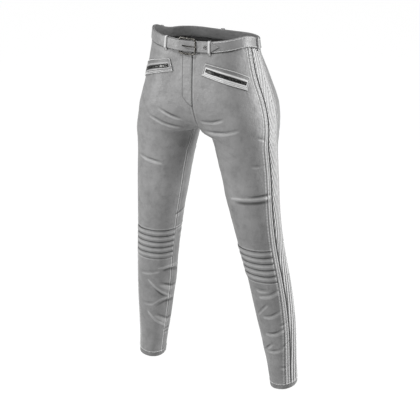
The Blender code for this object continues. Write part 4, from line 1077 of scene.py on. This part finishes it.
def make_loop(name, a, on_ribs):
    """A strip from the panel, over the belt and onto the band's top edge. Its section
    across is a flat oval, carried along the path with mitred normals."""
    here = a + np.array((-0.5, 0.0, 0.5)) * LOOP_WIDTH
    face = float(strap_lift(here).max()) + BELT_THICK + 0.0006
    edge, band = BELT_WIDTH / 2, BAND_HEIGHT / 2
    tail = 0.0003 + RIB_HEIGHT * on_ribs
    path = section_path(((-band - LOOP_TAIL, tail), (-edge - 0.0014, tail + 0.0002),
                         (-edge - 0.0005, face - 0.0004), (-edge + 0.002, face), (0.0, face),
                         (edge - 0.002, face), (edge + 0.0005, face - 0.0004),
                         (band + 0.0004, 0.0009), (band + 0.0004, -0.0016)))
    step = np.gradient(path, axis=0)
    left = unit(np.stack([-step[:, 1], step[:, 0]], -1))
    turn = np.linspace(0, 2 * np.pi, 17)[:-1]
    flat = np.sign(np.cos(turn)) * np.abs(np.cos(turn)) ** 0.35 * LOOP_WIDTH / 2
    deep = (np.sin(turn) * 0.5 + 0.5) * LOOP_THICK
    h = path[:, :1] + left[:, :1] * deep
    off = path[:, 1:] + left[:, 1:] * deep
    points = at_waist(a + flat + 0 * h, h, off)
    piece = new_piece("leather_loop_" + name, points, grid_quads(*h.shape, False, True), HIDE,
                      LOOP_TINT * np.cos(np.pi * flat / LOOP_WIDTH) ** 2 + 0 * h)
    close_ends(piece)
    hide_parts("belt_loop_" + name)


for name, a, on_ribs in LOOPS:
    make_loop(name, a, on_ribs)

# %% [markdown]
# ## Buckle
# A plain square frame, cast in zinc and nickel-plated, with rounded corners and a softly
# rounded section, and a round prong that comes up through the strap's slot. The frame is
# a section carried round a rounded square, on the curve of the waist.

# %% Buckle frame and prong
FRAME_HALF, FRAME_CORNER, FRAME_WIDE, FRAME_DEEP = (0.0230, 0.0190), 0.0070, 0.0044, 0.0026
BAR_OFF, FAR_OFF = 0.0044, 0.0069
PRONG_PATH = ((-0.0184, 0.0038), (-0.0130, 0.0037), (-0.0090, 0.0048), (-0.0050, 0.0082),
              (-0.0010, 0.0099), (0.0100, 0.0100), (0.0230, 0.0097), (0.0285, 0.0086))


def section_tube(centres, across, up, wide, deep, sides, square=1.0, closed=False):
    """Section points: centre + across wide/2 cos(t)^k + up deep/2 sin(t)^k, where a k
    below 1 makes the oval squarer."""
    t = np.linspace(0, 2 * np.pi, sides + 1)[:-1] + np.pi / sides
    c, s = (np.sign(v) * np.abs(v) ** square for v in (np.cos(t), np.sin(t)))
    wide, deep = (np.broadcast_to(v, len(centres))[:, None, None] / 2 for v in (wide, deep))
    points = (centres[:, None] + across[:, None] * c[None, :, None] * wide
              + up[:, None] * s[None, :, None] * deep)
    return points, grid_quads(len(centres), sides, closed, True)


def make_buckle():
    """The frame's middle line has four quarter circles and four straight sides."""
    turn = np.linspace(0, np.pi / 2, 9)
    middle = []
    for k, (sa, sh) in enumerate(((1, 1), (-1, 1), (-1, -1), (1, -1))):
        arc = turn + k * np.pi / 2
        flat = np.array((sa, sh)) * (np.array(FRAME_HALF) - FRAME_CORNER)
        middle.append(flat + FRAME_CORNER * np.stack([np.cos(arc), np.sin(arc)], -1))
    corners = np.concatenate(middle + [middle[0][:1]])
    way = along(corners)
    at = np.unique(np.r_[way, np.linspace(0, way[-1], 61)])[:-1]
    a, h = read_along(at, way, corners).T
    off = BAR_OFF + (FAR_OFF - BAR_OFF) * (a + FRAME_HALF[0]) / (2 * FRAME_HALF[0])
    centres, up = at_waist(a, h, off), out_of_waist(a, h)
    ahead = np.roll(centres, -1, axis=0) - np.roll(centres, 1, axis=0)
    across = unit(np.cross(ahead, up))
    points, quads = section_tube(centres, across, up, FRAME_WIDE, FRAME_DEEP, 16, 0.7, True)
    frame_piece = new_piece("buckle_frame_nickel", points, quads, NICKEL)
    close_ends(frame_piece)

    knots = np.array(PRONG_PATH)
    t = np.linspace(0, len(knots) - 1, 50)
    a, off = (hermite(np.arange(len(knots)), knots[:, k], t) for k in (0, 1))
    centres = at_waist(a, 0 * a, off)
    ahead = unit(np.gradient(centres, axis=0))
    across = np.tile((0.0, 0.0, 1.0), (len(a), 1))
    taper = np.interp(t, (0, 0.3, 5, 6.6, 7), (0.8, 1.0, 1.0, 0.85, 0.45))
    points, quads = section_tube(centres, across, np.cross(across, ahead), 0.0026 * taper,
                                 0.0021 * taper, 12)
    prong = new_piece("buckle_prong_nickel", points, quads, NICKEL)
    close_ends(prong)
    for piece, node in ((frame_piece, "buckle_frame"), (prong, "buckle_prong")):
        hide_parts(node)
    print("buckle %.0f mm wide" % (2 * FRAME_HALF[0] / MM))


make_buckle()


# %% The eyelet round the spare hole
def make_eyelet(a, radius=0.0043):
    """A flat ring: circle points round the hole on the strap's face."""
    turn = np.linspace(0, 2 * np.pi, 33)[:-1]
    face = float(strap_lift(a)) + BELT_THICK + 0.0001
    centres = at_waist(a + radius * np.cos(turn), radius * np.sin(turn), face)
    out = out_of_waist(a + 0 * turn, 0.0)
    across = unit(centres - centres.mean(0))
    points, quads = section_tube(centres, across, out, 0.0016, 0.0008, 8, 0.8, True)
    ring = new_piece("eyelet_ring", points, quads, NICKEL)
    close_ends(ring)


make_eyelet(SPARE_HOLE)

# %% [markdown]
# ## Fly
# The fly's facing lies on the fronts: a strip with its closing edge to the wearer's left
# and its foot cut to a slant. Its edges turn down. The back edge, the foot and a row of
# stitches beside the closing edge are tinted dark, since so thin a strip casts no shadow.

# %% Fly
FLY_BACK, FLY_FOOT, FLY_SHORT = 0.0140, -0.163, 0.024
FLY_WIDE, FLY_TALL, FLY_HIGH = FLY_BACK + FLY_EDGE, PANEL_TOP - FLY_FOOT, 0.0021
FLY_SPACED = 0.129  # the height that the rows are spaced for


def fly_place(across, down):
    """z and q in the strip: across runs from its back edge (0) to its closing edge (1),
    down from the waist (0) to the slanting foot (1)."""
    s = -FLY_BACK + FLY_WIDE * across
    foot = FLY_FOOT + FLY_SHORT * (1 - across) ** 1.4
    z = PANEL_TOP * (1 - down) + foot * down
    return z, q_from_front(z, s)


def fly_height(across, down):
    """2.1 mm over the body, less at the edges, where it turns down to the front."""
    edge = seam_dip(across * FLY_WIDE, 0.9, 1.6) + seam_dip((1 - across) * FLY_WIDE, 1.0, 1.0)
    return FLY_HIGH + edge + seam_dip((1 - down) * FLY_TALL, 0.9, 1.4)


def make_fly():
    """The strip as a grid over across and down."""
    across, down = np.meshgrid(spaced(FLY_WIDE, 0.0012), spaced(FLY_SPACED, 0.002))
    z, q = fly_place(across, down)
    height = fly_height(across, down) + 0.15 * MM * np.sin(z * 2 * np.pi / 0.011)
    line = (hump(across * FLY_WIDE, 0.0012, 0.0013)
            + hump((1 - down) * FLY_TALL, 0.0012, 0.0014))
    stitch = hump((1 - across) * FLY_WIDE, 0.0030, 0.0009) * (
        0.5 + 0.5 * np.sin(z * 2 * np.pi / 0.0060))
    piece = new_piece("leather_fly", body(z, q, height), grid_quads(*z.shape), HIDE,
                      0.4 * (FLY_HIGH - height) / TINT_DEPTH + 0.8 * line + 0.5 * stitch)
    give_thickness(piece, 0.0010)
    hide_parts("fly_placket")
    print(piece.name)


make_fly()

# %% [markdown]
# ## Zip pockets
# Each pocket is a welted leather frame round a slot, with a closed metal zip in it. The
# frame is a section carried round from its outer rectangle to the slot: a stitched flat,
# then a rolled lip. The lower welt is wider, with two rows of stitches.

# %% Pocket places and frame
POCKET_S, POCKET_Z, POCKET_BOW, POCKET_SLOPE = 0.1045, -0.0835, 0.0035, math.radians(-16.7)
POCKET_LONG, POCKET_HIGH = 0.126, 0.030
SLOT_LONG, SLOT_HIGH, SLOT_DROP = 0.112, 0.0100, 0.0010
# share of the way from the outer edge to the slot, height in millimetres
WELT = ((0.00, -0.6), (0.00, 0.7), (0.03, 1.10), (0.10, 1.20), (0.22, 1.20), (0.27, 0.85),
        (0.32, 1.20), (0.50, 1.20), (0.62, 1.10), (0.68, 1.45), (0.76, 2.05), (0.86, 2.25),
        (0.98, 2.20), (1.09, 1.90), (1.15, 1.45), (1.13, 1.00), (1.00, 0.90), (1.00, -0.3))
# how much painted shade (above 0) or painted highlight (below 0) each of those places has
POCKET_TINT = (0.9, 0.7, -0.35, 0.0, 0.25, 0.80, 0.40, 0.40, 0.50, 0.2, -0.3, -1.0, -0.9, -0.2,
               0.9, 0.9, 0.9, 0.9)
# The lower welt is paler than the rest. On the right pocket all that is pale is less so,
# as in the photograph, where that pocket gets less light.
# The lower welt's extra paleness is a painted highlight, and PALENESS scales all of a pocket's
# painted highlights.
LOWER_WELT_TINT, PALENESS = -1.30, {1: 1.0, -1: 0.35}


def pocket_place(x, y):
    """z and q of a place in the pocket's flat frame, x along the zip to the side seam."""
    c, s = math.cos(POCKET_SLOPE), math.sin(POCKET_SLOPE)
    bow = POCKET_BOW * (1 - (2 * x / POCKET_LONG) ** 2)
    z = POCKET_Z + bow + x * s + y * c
    return z, q_from_front(z, POCKET_S + x * c - y * s)


def welt_height(share):
    """The welt's height at a share of the way from its outer edge to the slot."""
    steps = np.array(WELT[1:12])
    return np.interp(share, steps[:, 0], steps[:, 1]) * MM


def welt_half(share):
    """Half the length and half the height of the rectangle at a share of the way in."""
    return (POCKET_LONG / 2 + (SLOT_LONG - POCKET_LONG) / 2 * share,
            POCKET_HIGH / 2 + (SLOT_HIGH - POCKET_HIGH) / 2 * share)


def make_pocket_frame(side, word):
    """Rectangles from the outer one to the slot's, each at its height over the body."""
    share, high = np.array(WELT).T
    u, v = np.linspace(-1, 1, 61)[:-1], np.linspace(-1, 1, 17)[:-1]
    rim = np.concatenate([np.stack([u, 0 * u - 1], -1), np.stack([0 * v + 1, v], -1),
                          np.stack([-u, 0 * u + 1], -1), np.stack([0 * v - 1, -v], -1)])
    wide, tall = welt_half(share)
    x = rim[:, 0] * wide[:, None]
    y = rim[:, 1] * tall[:, None] - SLOT_DROP * share[:, None]
    z, q = pocket_place(x, y)
    flip = np.array((side, 1, 1))
    points = body(z, q, LAY_ON + high[:, None] * MM + 0 * z) * flip
    tint, inwards, pale = np.array(POCKET_TINT)[:, None], share[:, None], PALENESS[side]
    lower = (rim[:, 1] < -0.999) & (tint < 0.6) & (inwards > 0.08)
    sunk = np.where(tint < 0, pale * tint, tint)
    sunk = sunk + pale * LOWER_WELT_TINT * ease((0.75 - inwards) / 0.1) * lower
    piece = new_piece("leather_pocket_" + word, points, grid_quads(*z.shape, True, True), HIDE,
                      sunk)
    close_ends(piece)
    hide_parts("pocket_frame_" + word)
    print(piece.name, "%.0f x %.0f mm" % (POCKET_LONG / MM, POCKET_HIGH / MM))


# %% Zip tape and teeth
TAPE_OFF, TEETH_PITCH, SLIDER_X = LAY_ON + 0.0006, 0.0017, -SLOT_LONG / 2 + 0.009
TOOTH_HALF = np.array((0.00045, 0.0016, 0.0011))


def flat_axes(x, y, side):
    """Middle, along, up and out directions at places of the pocket, in the world."""
    flip = np.array((side, 1, 1))
    here = surface(*pocket_place(x, y)) * flip
    ahead = unit(surface(*pocket_place(x + 0.002, y)) * flip - here)
    out = outward(*pocket_place(x, y)) * flip
    return here, ahead, np.cross(out, ahead) * side, out


def make_zip(side, word):
    """The tape is a sheet in the slot. Each tooth is a small block; the two rows lock
    into each other half a pitch apart."""
    x, y = np.meshgrid(np.linspace(-0.5, 0.5, 61) * (SLOT_LONG - 0.001),
                       np.linspace(0.5, -0.5, 9) * SLOT_HIGH - SLOT_DROP)
    z, q = pocket_place(x, y)
    flip = np.array((side, 1, 1))
    tape = new_piece("zip_tape_woven_" + word, body(z, q, TAPE_OFF + 0 * z) * flip,
                     grid_quads(*z.shape), TAPE, flip=side < 0)
    wall = tape.modifiers.new("tape", "SOLIDIFY")
    wall.thickness, wall.offset = 0.0006, -1.0
    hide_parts("zip_tape_" + word)

    count = int((SLOT_LONG / 2 - 0.003 - SLIDER_X) / TEETH_PITCH * 2)
    x = SLIDER_X + 0.003 + np.arange(count) * TEETH_PITCH / 2
    y = np.where(np.arange(count) % 2, 0.0008, -0.0008) - SLOT_DROP
    here, ahead, up, out = flat_axes(x, y, side)
    corner = np.array([(i, j, k) for k in (0, 1) for i, j in ((-1, -1), (1, -1), (1, 1), (-1, 1))])
    shrink = np.where(corner[:, 2:] == 1, 0.7, 1.0)
    local = corner * TOOTH_HALF * np.c_[shrink, shrink, np.ones(8)]
    points = (here[:, None] + ahead[:, None] * local[:, :1] + up[:, None] * local[:, 1:2]
              + out[:, None] * (local[:, 2:] + TAPE_OFF + 0.0001))
    faces = np.array(((3, 2, 1, 0), (4, 5, 6, 7), (0, 1, 5, 4), (1, 2, 6, 5), (2, 3, 7, 6),
                      (3, 0, 4, 7)))
    quads = (faces[None] + 8 * np.arange(count)[:, None, None]).reshape(-1, 4)
    teeth = new_piece("zip_teeth_" + word, points, quads, BLACK_ZINC, flip=side < 0)
    teeth.data.shade_flat()
    print(teeth.name, count, "teeth")


for side, word in SIDES:
    make_pocket_frame(side, word)
    make_zip(side, word)
    for node in ("zip_slider_" + word, "zip_pull_" + word):
        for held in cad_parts[node].material_slots:
            held.material = BLACK_ZINC

# %% [markdown]
# ## Stitches
# A row of topstitching is the same small shape many times: 2.6 mm of thread that stands
# up in the middle and dips into the leather at both ends. All rows of one kind become
# one mesh. The thread is drawn 1.2 mm thick, more than the real 0.7 mm, because a thinner
# one would not show.

# %% Stitch rows
ROWS = {"left": [], "right": [], "belt": []}
THREAD_THICK, STITCH_LONG, STITCH_REACH = 0.0012, 0.0026, 0.0012


def stitch_row(group, points, normals, pitch=0.0034):
    """Places stitches at equal steps along a run of points, and keeps their frames."""
    way = along(points)
    count = max(1, int(way[-1] / pitch))
    at = (np.arange(count) + 0.5) * way[-1] / count
    middle, out = read_along(at, way, points), read_along(at, way, normals)
    ahead = unit(read_along(at + STITCH_REACH, way, points)
                 - read_along(at - STITCH_REACH, way, points))
    ROWS[group].append((middle, ahead, unit(out - ahead * (out * ahead).sum(1, keepdims=True))))


def make_stitches(group):
    """Four square sections along each stitch, the end ones smaller and 0.3 mm lower."""
    middle, ahead, out = (np.concatenate(parts) for parts in zip(*ROWS[group]))
    side = np.cross(ahead, out)
    t = np.array((-0.5, -0.30, 0.30, 0.5))
    size = np.array((0.45, 1.0, 1.0, 0.45)) * THREAD_THICK / 2
    low = np.array((-0.35, 0.18, 0.18, -0.35)) * MM
    turn = np.arange(4) * np.pi / 2 + np.pi / 4
    base = (middle[:, None] + ahead[:, None] * (t * STITCH_LONG)[None, :, None]
            + out[:, None] * low[:, None])
    wide, high = np.cos(turn) * size[:, None] * 1.41, np.sin(turn) * size[:, None] * 1.3
    points = (base[:, :, None] + side[:, None, None] * wide[..., None]
              + out[:, None, None] * high[..., None])
    one = np.concatenate([grid_quads(4, 4, False, True), ((0, 1, 2, 3), (15, 14, 13, 12))])
    quads = (one[None] + 16 * np.arange(len(middle))[:, None, None]).reshape(-1, 4)
    piece = new_piece("stitches_" + group, points, quads, THREAD)
    print(piece.name, len(middle), "stitches")


# %% Rows along the seams
def seam_row(kind, side, word, from_front=None, from_rear=None):
    """A lengthwise row at a distance from a panel's front or rear edge."""
    top, foot = PANELS[kind]
    z = np.linspace(top - 0.002, foot + 0.002, 260)
    front, rear = panel_edges(kind, side, z)
    w = front + from_front if from_front is not None else rear - from_rear
    stitch_row(word, *place(kind, side, z, w))


def level_row(kind, side, word, z_at):
    """A row across a panel at one level."""
    z = np.full(90, z_at)
    front, rear = panel_edges(kind, side, z)
    w = front + (rear - front) * np.linspace(0.01, 0.99, 90)
    stitch_row(word, *place(kind, side, z, w))


for side, word in SIDES:
    seam_row("side_band_front", side, word, from_front=0.0044)
    seam_row("side_band_front", side, word, from_rear=0.0044)
    seam_row("side_band_rear", side, word, from_front=0.0036)
    seam_row("back_thigh", side, word, from_front=0.0036)
    seam_row("back_shin", side, word, from_front=0.0036)
    level_row("back_thigh", side, word, KNEE_TOP + 0.004)
    for kind in ("shin_front", "side_band_front", "side_ribs", "side_band_rear", "back_shin"):
        level_row(kind, side, word, HEM_TOP + 0.0036)

# %% Rows on the centre back, the fly and the pockets
z = np.linspace(PANEL_TOP - 0.002, CROTCH + 0.03, 150)
for side, word in SIDES:
    front, rear = panel_edges("back_thigh", side, z)
    stitch_row(word, *place("back_thigh", side, z, rear - 0.0036))

for side, word in SIDES:
    flip = np.array((side, 1, 1))
    x = np.linspace(-1, 1, 100)
    for share, sign in ((0.14, 1), (0.14, -1), (0.46, -1)):
        wide, tall = welt_half(share)
        z, q = pocket_place(x * (wide - 0.001), tall * sign - SLOT_DROP * share + 0 * x)
        points = body(z, q, LAY_ON + welt_height(share) + 0 * z) * flip
        stitch_row(word, points, outward(z, q) * flip, pitch=0.0030)
    y = np.linspace(-1, 1, 30)
    for sign in (-1, 1):
        x_at = sign * (POCKET_LONG / 2 - 0.0022)
        z, q = pocket_place(x_at + 0 * y, y * (POCKET_HIGH / 2 - 0.002))
        points = body(z, q, LAY_ON + welt_height(0.25) + 0.0002 + 0 * z) * flip
        stitch_row(word, points, outward(z, q) * flip, pitch=0.0030)

# %% Rows on the belt, and all rows made
a = np.linspace(-0.222, UNDER_END - 2 * HALF_WAIST + 0.002, 420)
for h in (-1, 1):
    off = strap_lift(a) + BELT_THICK
    stitch_row("belt", at_waist(a, h * (BELT_WIDTH / 2 - 0.0018), off), out_of_waist(a, 0 * a))
for group in ROWS:
    make_stitches(group)


# %% [markdown]
# ## Floor and light
# The trousers stand on a white light table, so the floor glows evenly and has hardly any
# shadow. Above it the surroundings are dim. Two soft lights, one on each side, draw the
# legs' round shape, and a third from above and in front draws creases and ribs.

# %% Floor
FLOOR_LEVEL = -0.9885
glow, tree, shader = new_material("light_table_acrylic", "#404040", 0.9)
shader.inputs["Emission Color"].default_value = (1.0, 1.0, 1.0, 1.0)
shader.inputs["Emission Strength"].default_value = 0.97
mesh = bpy.data.meshes.new("light_table")
mesh.from_pydata([(-8, -8, FLOOR_LEVEL), (8, -8, FLOOR_LEVEL), (8, 8, FLOOR_LEVEL),
                  (-8, 8, FLOOR_LEVEL)], [], [(0, 1, 2, 3)])
mesh.materials.append(glow)
floor = bpy.data.objects.new("light_table", mesh)
bpy.context.scene.collection.objects.link(floor)

# %% Light
RIGHT = np.array((math.cos(CAMERA_TURN), math.sin(CAMERA_TURN), 0.0))
TOWARDS = np.array((math.sin(CAMERA_TURN), -math.cos(CAMERA_TURN), 0.0))


def soft_light(name, right, towards, up, wide, high, watts):
    """A rectangular light, placed from the object's middle and aimed at it."""
    middle = np.array((0.0, 0.0, -0.5))
    place_at = middle + right * RIGHT + towards * TOWARDS + np.array((0, 0, up))
    lamp = bpy.data.lights.new(name, "AREA")
    lamp.shape, lamp.size, lamp.size_y, lamp.energy = "RECTANGLE", wide, high, watts
    made = bpy.data.objects.new(name, lamp)
    made.location = place_at
    aim = middle - place_at
    made.rotation_euler = (math.atan2(math.hypot(aim[0], aim[1]), -aim[2]), 0.0,
                           math.atan2(-aim[0], aim[1]))
    bpy.context.scene.collection.objects.link(made)


soft_light("left_light", -2.2, 0.8, 0.6, 0.7, 1.6, 42)
soft_light("right_light", 2.3, -0.35, 0.5, 0.4, 2.2, 80)
soft_light("top_light", -0.5, 1.1, 2.3, 0.6, 0.6, 66)
world = bpy.data.worlds.new("studio")
world.use_nodes = True
world.node_tree.nodes["Background"].inputs["Color"].default_value = (1, 1, 1, 1)
world.node_tree.nodes["Background"].inputs["Strength"].default_value = 0.20
bpy.context.scene.world = world
bpy.context.scene.view_settings.view_transform = "Standard"
